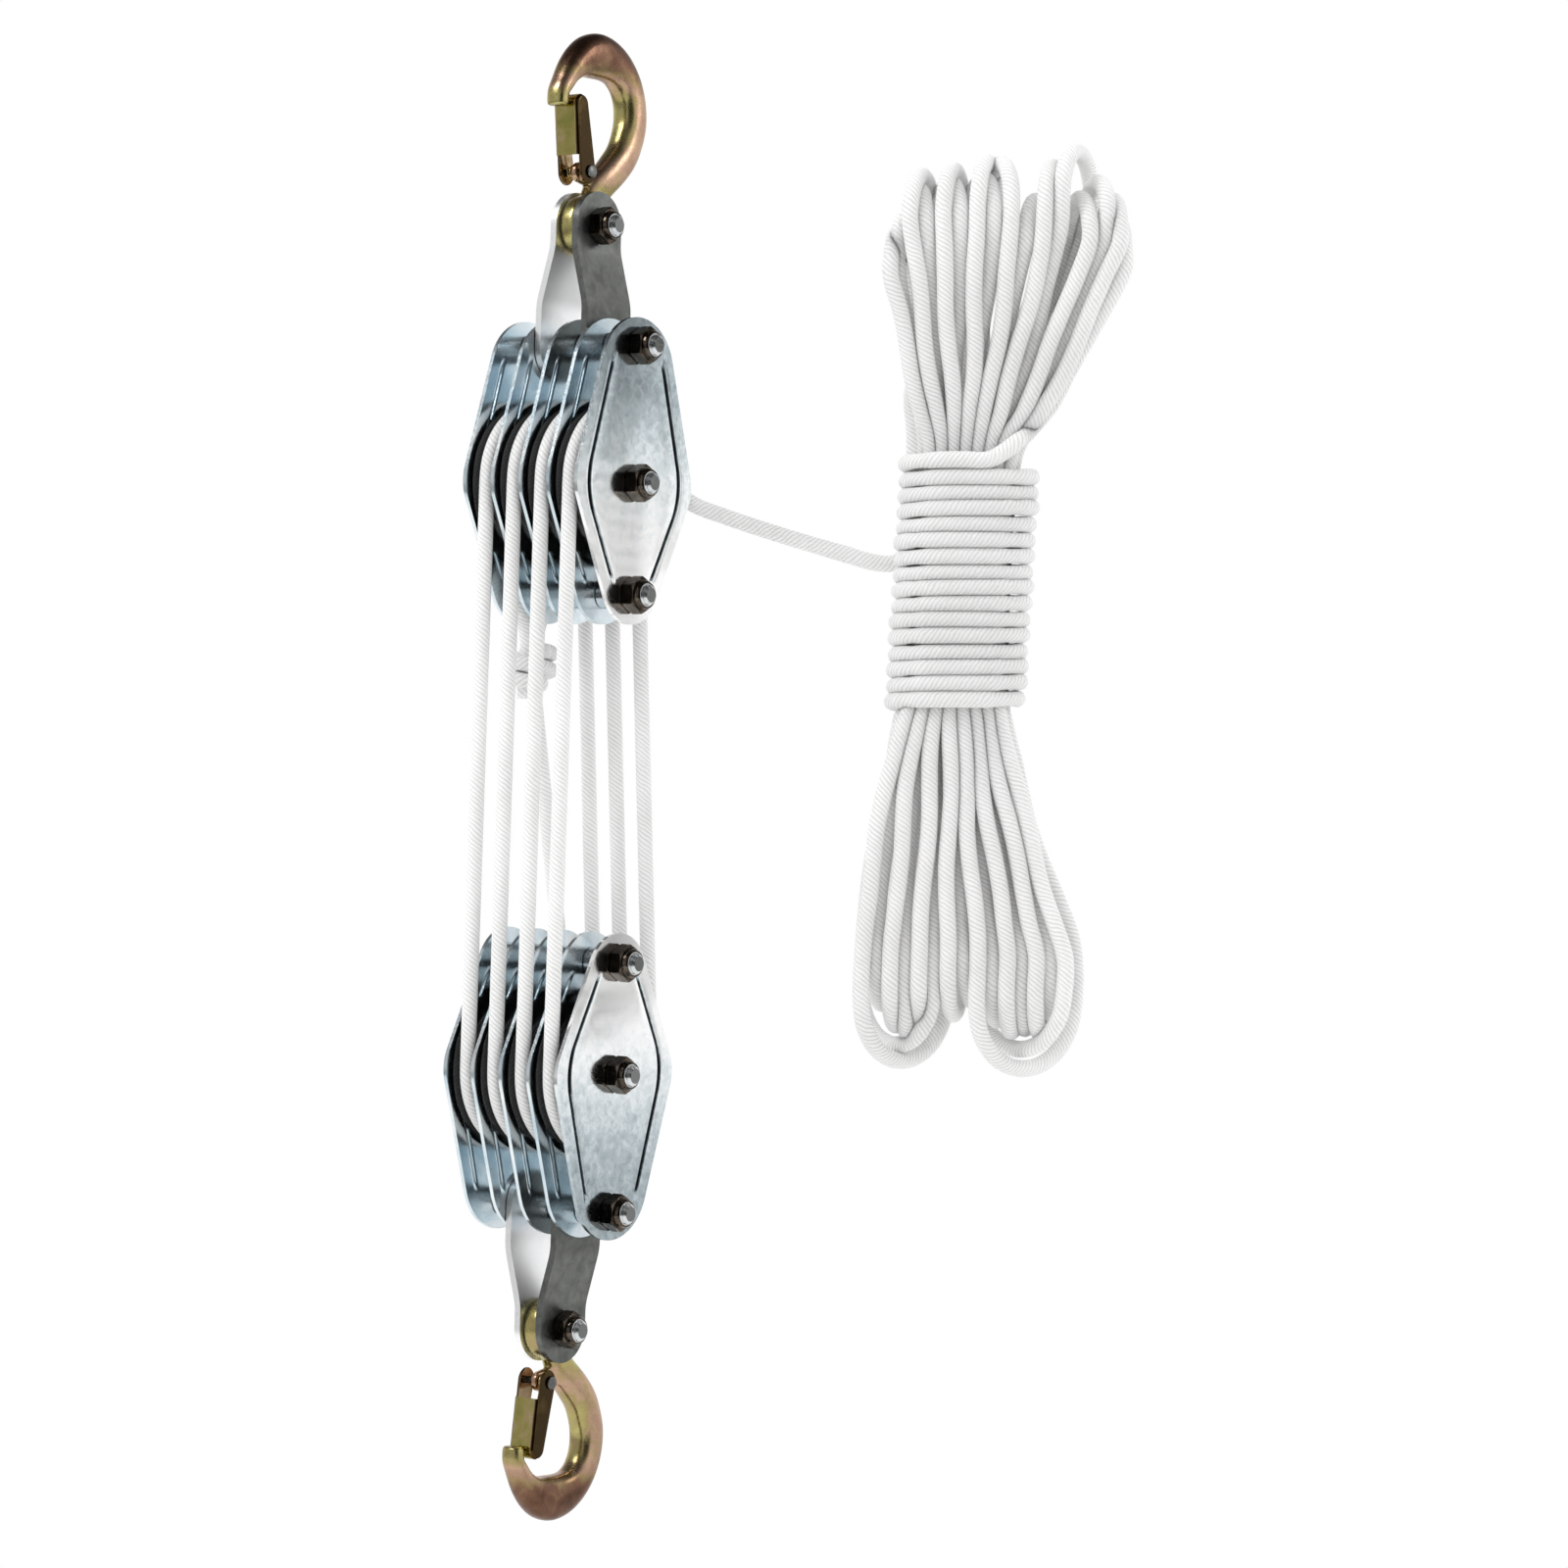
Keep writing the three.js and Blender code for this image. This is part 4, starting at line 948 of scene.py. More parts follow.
        mirrored = add_node(tree, "ShaderNodeBackground", links={
            "Color": band.outputs["Color"], "Strength": level.outputs[0]})
        white = add_node(tree, "ShaderNodeBackground", {"Color": linear(WHITE), "Strength": 1.0})
        lit = add_node(tree, "ShaderNodeMixShader", links={0: rays.outputs["Is Glossy Ray"], 1: room.outputs[0],
                                                           2: mirrored.outputs[0]})
        mixed = add_node(tree, "ShaderNodeMixShader", links={0: seen.outputs[0], 1: lit.outputs[0],
                                                             2: white.outputs[0]})
        add_node(tree, "ShaderNodeOutputWorld", links={"Surface": mixed.outputs[0]})
        bpy.context.scene.view_settings.view_transform = "Standard"

    def set_floor(self) -> None:
        """Lays the paper below the lower hook."""
        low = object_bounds()[0][2] / MM - self.floor_drop_mm
        draft = Draft()
        turns = [math.tau * k / self.floor_sides for k in range(self.floor_sides)]
        draft.points = [Vector((math.cos(a), math.sin(a), 0)) * self.floor_radius_mm + Vector((0, 0, low))
                        for a in turns]
        draft.faces = [tuple(range(self.floor_sides))]
        floor = draft.make("paper_floor", Matrix.Identity(4))
        floor.data.materials.append(StudioPaper("seamless_paper", "").make())
        floor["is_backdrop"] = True


# Rope


@dataclass(frozen=True)
class HankEnd:
    """Where the strands lie at one end of the hank, from left to right, in millimetres."""

    front: Row
    back: Row
    full_at: float
    left_power: float
    right_power: float
    stagger: float
    fan_from: float = 50.0

    def share(self, strand: int, count: int, height: float) -> float:
        """Returns how far a strand has fanned out at a height above or below the waist's middle."""
        run = max(0.0, min(1.0, (abs(height) - self.fan_from) / (self.full_at - self.fan_from)))
        return run ** blend_values(self.left_power, self.right_power, strand / (count - 1))


@dataclass
class Hank(SubAssembly):
    """The hauling end: its run from the last sheave, and the hank that it is made up into.

    The hank has its own frame: the waist's centre at the origin, X across, Y away from the camera and Z up. Each
    loop goes up behind, folds over to the front, comes down through the waist and folds back under the hank.
    """

    across: float = 152.4
    down: float = 29.0
    turn: float = math.atan2(3, 4)
    order: tuple[int, ...] = (1, 2, 3, 4, 5, 0, 6, 7, 9, 10, 11, 12, 13, 14, 8, 15)
    top: HankEnd = HankEnd(
        (-38.6, -32.4, -26, -19.6, -13, -6.4, 0.2, 6.8, 13.4, 20, 26.4, 32.8, 45, 51.2, 57.2, 62.8),
        (-30.4, -22, -16, -27, -4, -15, 9, -2, 4.4, 29.6, 34, 46.6, 37.6, 43.6, 52, 58.4),
        132, 0.9, 0.78, 1.2)
    top_reaches: Row = (131.5, 139, 154.5, 149, 157, 152, 160.5, 154, 160, 146, 159.5, 166, 147.5, 154, 147, 138)
    bottom: HankEnd = HankEnd(
        (-35, -29.6, -24, -18.4, -12.8, -7.2, -1.6, 4, 10, 15.8, 21.4, 27, 32.6, 38.2, 43.8, 48.6),
        (-34.2, -28.4, -22.6, -17, -11.4, -5.8, -0.2, 5.4, 11.2, 17, 22.6, 28.2, 33.8, 39.4, 45, 50.2),
        148, 0.62, 1.2, 3.6)
    bottom_reaches: Row = (171, 179, 183, 178, 187, 193, 174, 169, 176, 180, 179, 180, 174, 187, 194.5)
    columns: int = 8
    column_pitch: float = 5.3
    layer_pitch: float = 5.5
    waist_half: float = 48.0
    front_depth: float = 17.0
    back_depth: float = 19.5
    fold: float = 18.3
    fold_steps: int = 8
    leg_step: float = 13.0
    wrap_turns: float = 15.49
    wrap_steps: int = 24
    wrap_half: Pair = (24.2, 15.2)
    wrap_fullness: float = 0.88
    wrap_top: float = 37.5
    swell: float = 0.2
    packed: float = 0.15
    loose_from: float = 60.0
    wrap_pitch: float = 6.2
    wobble: float = 1.2
    wobble_run: float = 13.0
    wobble_turn: float = 2.4
    rear_turn: float = 1.7
    slant: float = 0.03
    layer_squeeze: float = 0.22
    inner_squeeze: float = 0.15
    layer_spread: float = 2.0
    waist_bulge: float = 3.2
    fold_share: float = 0.93
    first_entry: float = 80.0
    last_above: float = 18.0
    drawn_half: Pair = (22.0, 12.5)
    drawn_fade: float = 26.0
    drawn_share: float = 0.14
    loose_over: float = 12.0
    # The angle, the height above the turns and the clearance of the points that lead in
    wrap_lead: Triples = ((-0.4, 19, 0.4), (-0.85, 13, 1.0))
    wrap_start: float = -1.35
    wrap_above: float = 5.0
    # The size, the rate and the phase of each wave of slack along the turns
    wrap_slack: Triples = ((0.35, 2.4, 1.0), (0.25, 5.1, 0.0))
    slack_drop: float = 0.8
    wrap_clear: float = 0.3
    # The points of the tucked end, from the last turn
    tucked: Triples = ((6, 1.5, -2.5), (11, 3.5, -9), (12.5, 6, -19), (13, 9, -32))
    cap_sides: int = 20
    # The place along the rope and the share of its radius
    cap_profile: Pairs = (
        (-1.6, 0.98), (-0.6, 1.03), (0.3, 0.99), (1.0, 0.8), (1.4, 0.45), (1.5, 0.05))
    tail_path: Triples = (
        (-114.1, 15, 30), (-109.9, 17.5, 25.3), (-104.5, 18.6, 22.5), (-97.2, 19, 20.1), (-85.4, 19.6, 16.5),
        (-67.4, 20.9, 11.5), (-47.4, 22.4, 6.4), (-33, 23.9, 3), (-25.5, 24.6, 3.6), (-21.2, 24.8, 8.8),
        (-20, 24.8, 17), (-20, 24.8, 40), (-20.4, 24.4, 56), (-22, 21.5, 70))
    sways: Pair = (-106.0, -46.0)
    sides: int = 14
    step: float = 3.6

    @property
    def place(self) -> Matrix:
        """Returns the place of the hank's frame."""
        return (Matrix.Translation((self.across * math.cos(self.turn), self.across * math.sin(self.turn),
                                    STACK.upper_axle_z - self.down)) @ Matrix.Rotation(self.turn, 4, "Z"))

    def leaving_point(self, distance: float) -> Vector:
        """Finds a point of the rope's straight run off the last sheave.

        Args:
            distance: How far it lies from where the rope leaves.

        Returns:
            The point in the tackle's frame.
        """
        out = Vector((0, math.cos(STACK.leave_angle), math.sin(STACK.leave_angle)))
        down = Vector((0, math.sin(STACK.leave_angle), -math.cos(STACK.leave_angle)))
        centre = Vector((STACK.bay_x(STACK.plates - 2), 0, STACK.upper_axle_z))
        return centre + out * STACK.sheave_pitch_radius + down * distance

    def strand(self, loop: int, front: bool, z: float) -> Vector:
        """Places a point of one leg of a loop.

        The legs start in the waist as a bundle of columns, two layers in front and two behind. Where they fan out,
        the two of a column come to lie side by side.

        Args:
            loop: The loop's number from left to right.
            front: Whether it is the front leg.
            z: The height of the point.

        Returns:
            The point in the hank's frame.
        """
        end = self.top if z > 0 else self.bottom
        share = end.share(loop, len(self.order), z)
        column = loop // 2 - (self.columns - 1) / 2
        edge = column / ((self.columns - 1) / 2)
        outer = 1 if loop % 2 == 0 else -1
        flank = math.sqrt(1 - self.layer_squeeze * (1 if outer > 0 else self.inner_squeeze))
        waist_x = column * self.column_pitch * flank + z * self.slant
        x = blend_values(waist_x, (end.front if front else end.back)[loop], share)
        depth = self.front_depth if front else self.back_depth
        phase = z / self.wobble_run + self.wobble_turn * loop + (0 if front else self.rear_turn)
        x += self.wobble * math.sin(math.pi * share) * math.sin(phase)
        apart = (self.layer_pitch + self.layer_spread * share) * math.sqrt(1 - share * share) + end.stagger * share
        pressed = blend_values(math.sqrt(1 - edge * edge / self.waist_bulge), 1, share)
        y = (blend_values(self.layer_pitch, depth, share) + outer * apart / 2) * pressed
        return Vector((x, -y if front else y, z))

    def leg(self, loop: int, front: bool, start: float, stop: float) -> list[Vector]:
        """Returns the points of one leg from one height to another."""
        count = max(2, round(abs(stop - start) / self.leg_step))
        return [self.strand(loop, front, blend_values(start, stop, k / count)) for k in range(count + 1)]

    def bend(self, start: Vector, stop: Vector, reach: float) -> list[Vector]:
        """Returns the points of a fold between two legs, both legs' ends left out.

        Args:
            start: The end of the first leg.
            stop: The end of the second leg, at the same height.
            reach: The height of the fold's crown.

        Returns:
            The points of half an ellipse.
        """
        middle = (start + stop) / 2
        half = (start - stop) / 2
        rise = reach - start.z
        points = []
        for k in range(1, self.fold_steps):
            angle = math.pi * k / self.fold_steps
            points.append(middle + half * math.cos(angle) + Vector((0, 0, rise * math.sin(angle))))
        return points

    def rise(self, start: Vector, stop: Vector) -> float:
        """Returns the height of a fold between two legs, a little flatter than half a circle where it is wide."""
        apart = Vector((start.x - stop.x, start.y - stop.y)).length / 2
        return max(self.fold, self.fold_share * apart)

    def loops(self) -> list[Vector]:
        """Strings all the loops together.

        Returns:
            Their points, from the first rear leg to the last front leg.
        """
        points: list[Vector] = []
        entry = self.first_entry
        for k, loop in enumerate(self.order):
            reach = self.top_reaches[loop]
            shoulder = reach - self.rise(self.strand(loop, False, reach), self.strand(loop, True, reach))
            points += self.leg(loop, False, entry, shoulder)
            points += self.bend(points[-1], self.strand(loop, True, shoulder), reach)
            if k == len(self.order) - 1:
                points += self.leg(loop, True, shoulder, self.waist_half + self.last_above)
                break
            following = self.order[k + 1]
            drop = -self.bottom_reaches[k]
            fold = self.rise(self.strand(loop, True, drop), self.strand(following, False, drop))
            hollow = drop + fold
            points += self.leg(loop, True, shoulder, self.waist_half)
            points += self.leg(loop, True, -self.waist_half, hollow)
            points += self.bend(points[-1], self.strand(following, False, hollow), drop)
            points += self.leg(following, False, hollow, -self.waist_half)
            entry = self.waist_half
        return points

    def wrap_point(self, angle: float, z: float, grown: float = 0.0) -> Vector:
        """Returns a point of a waist turn, on a rounded oblong about the bundle.

        Args:
            angle: The angle round the waist, nought at the right and growing towards the back.
            z: The height.
            grown: How far outside the bundle's skin it lies.

        Returns:
            The point.
        """
        c, s = math.cos(angle), math.sin(angle)
        x = math.copysign(abs(c) ** self.wrap_fullness, c) * (self.wrap_half[0] + grown)
        y = math.copysign(abs(s) ** self.wrap_fullness, s) * (self.wrap_half[1] + grown)
        return Vector((x + z * self.slant, y, z))

    def wraps(self) -> list[Vector]:
        """Draws the waist turns: over the front from the right, then down the waist in a row.

        Returns:
            Their points, up to the tucked end.
        """
        points = [self.wrap_point(angle, self.wrap_top + above, grown) for angle, above, grown in self.wrap_lead]
        stations = round(self.wrap_turns * self.wrap_steps)
        for k in range(stations):
            angle = self.wrap_start - math.tau * k / self.wrap_steps
            slack = sum(size * math.sin(rate * k / self.wrap_steps + phase) for size, rate, phase in self.wrap_slack)
            z = self.wrap_top + self.wrap_above - self.wrap_pitch * k / self.wrap_steps
            points.append(self.wrap_point(angle, z + slack * self.slack_drop, self.wrap_clear + slack))
        last = points[-1]
        return points + [last + Vector(shift) for shift in self.tucked]

    def corners(self) -> list[Vector]:
        """Puts the whole path together.

        Returns:
            Its points in the hank's frame, from the last sheave to the bare end.
        """
        back = self.place.inverted()
        points = [back @ self.leaving_point(STACK.rope), back @ self.leaving_point(2 * STACK.rope)]
        points += [Vector(p) for p in self.tail_path]
        return points + self.loops() + self.wraps()

    def radius(self, point: Vector) -> float:
        """Finds the rope's radius: full in the hank, a little less where the waist turns draw it in.

        Args:
            point: A point of the path in the hank's frame.

        Returns:
            The radius there.
        """
        inside = abs(point.x) < self.drawn_half[0] and abs(point.y) < self.drawn_half[1]
        drawn = 1 - smooth_step((abs(point.z) - self.waist_half) / self.drawn_fade) if inside else 0.0
        loose = smooth_step((point.x + self.loose_from) / self.loose_over)
        return (STACK.rope / 2 + self.swell + self.packed * loose) * (1 - self.drawn_share * drawn)

    def build(self) -> None:
        """Makes the run and the hank as one rope, and its sealed end."""
        points = smooth_path(self.corners(), self.step)
        rings, lengths = tube_rings(points, lambda i: self.radius(points[i]), self.sides)
        draft = Draft()
        draft.add_rings(rings, lengths=lengths)
        rope = draft.make("hauling_rope", self.place)
        self.dress(rope, Finishes.GREY_ROPE, None, "rope_tail", "hank_loops", "hank_wraps")
        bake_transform(rope)
        cap = self.sealed_end(points)
        log.info("hauling rope: %.2f m from the last sheave to its end", lengths[-1] * MM)

    def sealed_end(self, points: Sequence[Vector]) -> bpy.types.Object:
        """Caps the rope's end with the drop of melted polyester that seals it.

        Args:
            points: The rope's path.

        Returns:
            The cap.
        """
        along = (points[-1] - points[-2]).normalized()
        reach = STACK.rope / 2
        spots = [points[-1] + along * run for run, _ in self.cap_profile]
        rings, _ = tube_rings(spots, lambda i: reach * self.cap_profile[i][1], self.cap_sides)
        draft = Draft()
        draft.add_rings(rings)
        cap = draft.make("rope_sealed_end", self.place)
        return self.dress(cap, Finishes.SEALED_END, "upper_hook")


@dataclass
class Reeving(SubAssembly):
    """The rope between the blocks: its dead end, the first fall, and the length over the eight sheaves."""

    eye_tilt: float = 0.38
    turns: int = 2
    top: float = 22.0
    rim_clear: float = 18.0
    sway_clear: float = 37.0
    arc_step_deg: float = 10.0
    turn_steps: int = 24
    fall_steps: int = 24
    sides: int = 16
    step: float = 2.5

    @property
    def dead_x(self) -> float:
        """Returns the bay of the dead end."""
        return STACK.bay_x(0)

    @property
    def dead_z(self) -> float:
        """Returns the height of the sleeve that holds the dead end."""
        return STACK.upper_axle_z + STACK.rope_bolt_z

    @property
    def leg_y(self) -> float:
        """Returns half the distance between the legs of the dead end's eye."""
        return STACK.rope / 2 + STACK.seat_gap / 2

    @property
    def knot_low(self) -> float:
        """Returns the lower edge of the turns that close the eye."""
        return self.dead_z - self.top - self.turns * STACK.rope_pitch

    def arc(self, x: float, z: float, radius: float, start: float, stop: float) -> list[Vector]:
        """Draws an arc in the plane across X.

        Args:
            x: The plane's X.
            z: The height of its centre.
            radius: Its radius.
            start: The angle of its first point, from +Y.
            stop: The angle of its last point.

        Returns:
            Its points.
        """
        count = max(2, math.ceil(abs(stop - start) / math.radians(self.arc_step_deg)))
        return [Vector((x, radius * math.cos(a), z + radius * math.sin(a)))
                for a in (start + (stop - start) * k / count for k in range(count + 1))]

    def rope(self, name: str, corners: Sequence[Vector], start_length: float = 0.0) -> bpy.types.Object:
        """Makes one stretch of rope through given points.

        Args:
            name: The piece's name.
            corners: The points of its path in millimetres.
            start_length: Where on the whole rope it starts, so that the braid runs on.

        Returns:
            The object.
        """
        points = smooth_path(corners, self.step)
        rings, lengths = tube_rings(points, lambda _: STACK.rope / 2, self.sides)
        draft = Draft()
        draft.add_rings(rings, lengths=[start_length + run for run in lengths])
        return draft.make(name, Matrix.Identity(4))

    def build(self) -> None:
        """Makes the stretches of rope, and ties the dead end, its turns and the first fall to the upper block."""
        self.build_dead_end()
        self.build_turns()
        self.build_first_fall()
        self.build_reeved()

    def build_dead_end(self) -> None:
        """Makes the eye round the sleeve and both legs under it."""
        x, reach = self.dead_x, STACK.sleeve + STACK.seat_gap + STACK.rope / 2
        leg_top = self.dead_z - self.top + STACK.rope_pitch
        low = self.knot_low - STACK.rope
        corners = [Vector((x, -self.leg_y, low)), Vector((x, -self.leg_y, leg_top))]
        corners += self.arc(x, self.dead_z, reach, math.pi + self.eye_tilt, -self.eye_tilt)
        corners += [Vector((x, self.leg_y, leg_top)), Vector((x, self.leg_y, low))]
        piece = self.rope("rope_dead_end", corners)
        self.dress(piece, Finishes.GREY_ROPE, "upper_block", "rope_reeving")

    def build_turns(self) -> None:
        """Makes the turns that close the eye."""
        half_x = STACK.rope_pitch
        half_y = self.leg_y + STACK.rope_pitch
        count = self.turn_steps
        corners = []
        for k in range(self.turns * count + 1):
            angle = math.tau * k / count
            corners.append(Vector((self.dead_x + half_x * math.cos(angle), half_y * math.sin(angle),
                                   self.dead_z - self.top - STACK.rope_pitch * k / count)))
        piece = self.rope("rope_end_turns", corners)
        self.dress(piece, Finishes.GREY_ROPE, "upper_block", "rope_end_knot")

    def build_first_fall(self) -> None:
        """Makes the fall from the dead end to the first lower sheave."""
        start = Vector((self.dead_x, self.leg_y, self.knot_low - STACK.rope))
        stop = Vector((self.dead_x, STACK.sheave_pitch_radius, STACK.lower_axle_z + self.rim_clear))
        corners = [start.lerp(stop, k / self.fall_steps) for k in range(self.fall_steps + 1)]
        piece = self.rope("rope_first_fall", corners)
        self.dress(piece, Finishes.GREY_ROPE, "upper_block")
        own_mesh(piece)

    def build_reeved(self) -> None:
        """Makes the rope over the eight sheaves, from the first lower one to where the hauling part leaves."""
        reach = STACK.sheave_pitch_radius
        bays = STACK.plates - 1
        corners: list[Vector] = []
        for i in range(bays):
            x = STACK.bay_x(i)
            corners.append(Vector((x, reach, STACK.lower_axle_z + self.rim_clear)))
            corners += self.arc(x, STACK.lower_axle_z, reach, 0, -math.pi)
            corners += self.straight(corners[-1], Vector((x, -reach, STACK.upper_axle_z)))
            last = i == bays - 1
            corners += self.arc(x, STACK.upper_axle_z, reach, math.pi, STACK.leave_angle if last else 0)
            if not last:
                leaving = Vector((x, reach, STACK.upper_axle_z - self.rim_clear))
                coming = Vector((STACK.bay_x(i + 1), reach, STACK.lower_axle_z + self.rim_clear))
                corners.append(leaving)
                corners += self.straight(leaving, coming)
        out = Vector((0, math.sin(STACK.leave_angle), -math.cos(STACK.leave_angle)))
        corners.append(corners[-1] + out * STACK.rope)
        piece = self.rope("rope_over_sheaves", corners)
        self.dress(piece, Finishes.GREY_ROPE, None)
        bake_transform(piece)

    def straight(self, start: Vector, stop: Vector) -> list[Vector]:
        """Returns points between two ends of a straight fall, both ends left out."""
        return [start.lerp(stop, k / self.fall_steps) for k in range(1, self.fall_steps)]


# Blocks


@dataclass
class CheekPlate:
    """A pressed side plate: a long six-sided sheet with round corners and two beads."""

    half_width: float = 35.42
    corner_radius: float = 18.0
    hook_reach: float = 64.5
    hook_end_radius: float = 22.0
    rope_reach: float = 55.0
    rope_end_radius: float = 17.5
    bead_half: float = 1.75
    bead_depth: float = 0.98
    hook_end: Pair = (15.6, 46.0)
    waist_y: float = 27.6
    bend_radius: float = 30.0
    rope_end: Pair = (12.6, -36.5)
    fade: float = 2.2
    row_step: float = 1.6
    edge: float = 0.22
    crisp: float = 0.02
    soft_share: float = 0.6
    # The front plate's painted shade in the beads, and its painted reflection greyer towards the hook
    bead_painted_shade: float = 0.82
    bead_core: float = 0.34
    bead_edge: float = 0.4
    bead_steps: int = 7
    hook_end_painted_reflection: float = 0.52
    painted_reflection_from: float = 0.75
    painted_reflection_full: float = 0.8
    edge_share: float = 0.94
    # The mesh's columns inside and outside the beads, and its rows at the round ends
    inner_shares: Row = (0.2, 0.4, 0.6, 0.8)
    outer_shares: Row = (0.35, 0.7, 1.0)
    end_rows: Row = (0.008, 0.04, 0.12, 0.28, 0.6, 1.1)

    def bead_depth_at(self, across: float, crisp: bool) -> float:
        """Returns the bead's depth as a share of its full depth, a rounded V or a soft wave.

        Args:
            across: The place across the bead, from -1 to 1.
            crisp: Whether it is a V.

        Returns:
            The share.
        """
        if not crisp:
            return self.soft_share * 0.5 * (1 + math.cos(math.pi * across))
        top, bottom = math.sqrt(1 + self.crisp), math.sqrt(self.crisp)
        return (top - math.sqrt(across * across + self.crisp)) / (top - bottom)

    def film(self, point: Vector) -> float:
        """Returns the front plate's painted reflection at a point, greyer towards the hook, and painted shade dark in
        the beads.

        Args:
            point: The point in the plate's own frame.

        Returns:
            The painted reflection and painted shade as a share.
        """
        low = self.rope_reach * self.painted_reflection_from
        share = (point.z + low) / (self.hook_reach * self.painted_reflection_full + low)
        across = abs(abs(point.y) - self.bead_y(point.z)) / self.bead_half
        over = max(0.0, point.z - self.hook_end[1], self.rope_end[1] - point.z)
        dark = (1 - smooth_step((across - self.bead_core) / self.bead_edge)) * (1 - smooth_step(over / self.fade))
        return max(self.hook_end_painted_reflection * smooth_step(share), self.bead_painted_shade * dark)

    def half_at(self, z: float) -> float:
        """Finds half the plate's width.

        Args:
            z: The height.

        Returns:
            The Y of its edge.
        """
        corner = self.half_width - self.corner_radius
        return hull_span([(0, self.hook_reach - self.hook_end_radius, self.hook_end_radius),
                          (corner, 0, self.corner_radius),
                          (0, self.rope_end_radius - self.rope_reach, self.rope_end_radius)], z)[1]

    def bead_y(self, z: float) -> float:
        """Finds the middle of the bead: two straight lines and a bend at the axle.

        Args:
            z: The height.

        Returns:
            Its Y there.
        """
        up = math.atan2(self.waist_y - self.hook_end[0], self.hook_end[1])
        down = math.atan2(self.waist_y - self.rope_end[0], -self.rope_end[1])
        centre = self.waist_y - self.bend_radius
        angle = max(-down, min(up, math.asin(max(-1.0, min(1.0, z / self.bend_radius)))))
        y, level = centre + self.bend_radius * math.cos(angle), self.bend_radius * math.sin(angle)
        if z > level + TINY:
            return blend_values(y, self.hook_end[0], (z - level) / (self.hook_end[1] - level))
        if z < level - TINY:
            return blend_values(y, self.rope_end[0], (z - level) / (self.rope_end[1] - level))
        return y

    def rows(self) -> list[float]:
        """Spaces the mesh's rows, closer together towards the round ends.

        Returns:
            Their heights.
        """
        low, high = -self.rope_reach, self.hook_reach
        count = round((high - low) / self.row_step)
        middle = [low + (high - low) * k / count for k in range(1, count)]
        ends = [low + n for n in self.end_rows] + [high - n for n in self.end_rows]
        return sorted(set(round(z, 4) for z in middle + ends))

    def draft(self, crisp: bool) -> Draft:
        """Draws the middle surface of the plate.

        Args:
            crisp: Whether its beads are sharp in their bottoms.

        Returns:
            The draft, in the plate's own frame.
        """
        bead = [k / self.bead_steps for k in range(-self.bead_steps, self.bead_steps + 1)]
        rows = []
        for z in self.rows():
            half = self.half_at(z)
            middle = self.bead_y(z)
            limit = self.edge_share * half
            room = min(1.0, limit / (middle + self.bead_half))
            place, width = middle * room, self.bead_half * room
            over = max(0.0, z - self.hook_end[1], self.rope_end[1] - z)
            strength = self.bead_depth * (1 - smooth_step(over / self.fade))
            inner = place - width
            side = [(inner * share, 0.0) for share in self.inner_shares]
            side += [(place + width * b, -strength * self.bead_depth_at(b, crisp)) for b in bead]
            outer = half - (place + width)
            side += [(place + width + outer * share, 0.0) for share in self.outer_shares]
            row = [Vector((x, -y, z)) for y, x in reversed(side)] + [Vector((0, 0, z))]
            row += [Vector((x, y, z)) for y, x in side]
            rows.append(row)
        draft = Draft()
        draft.add_rings(rows, closed=False, capped=False)
        return draft


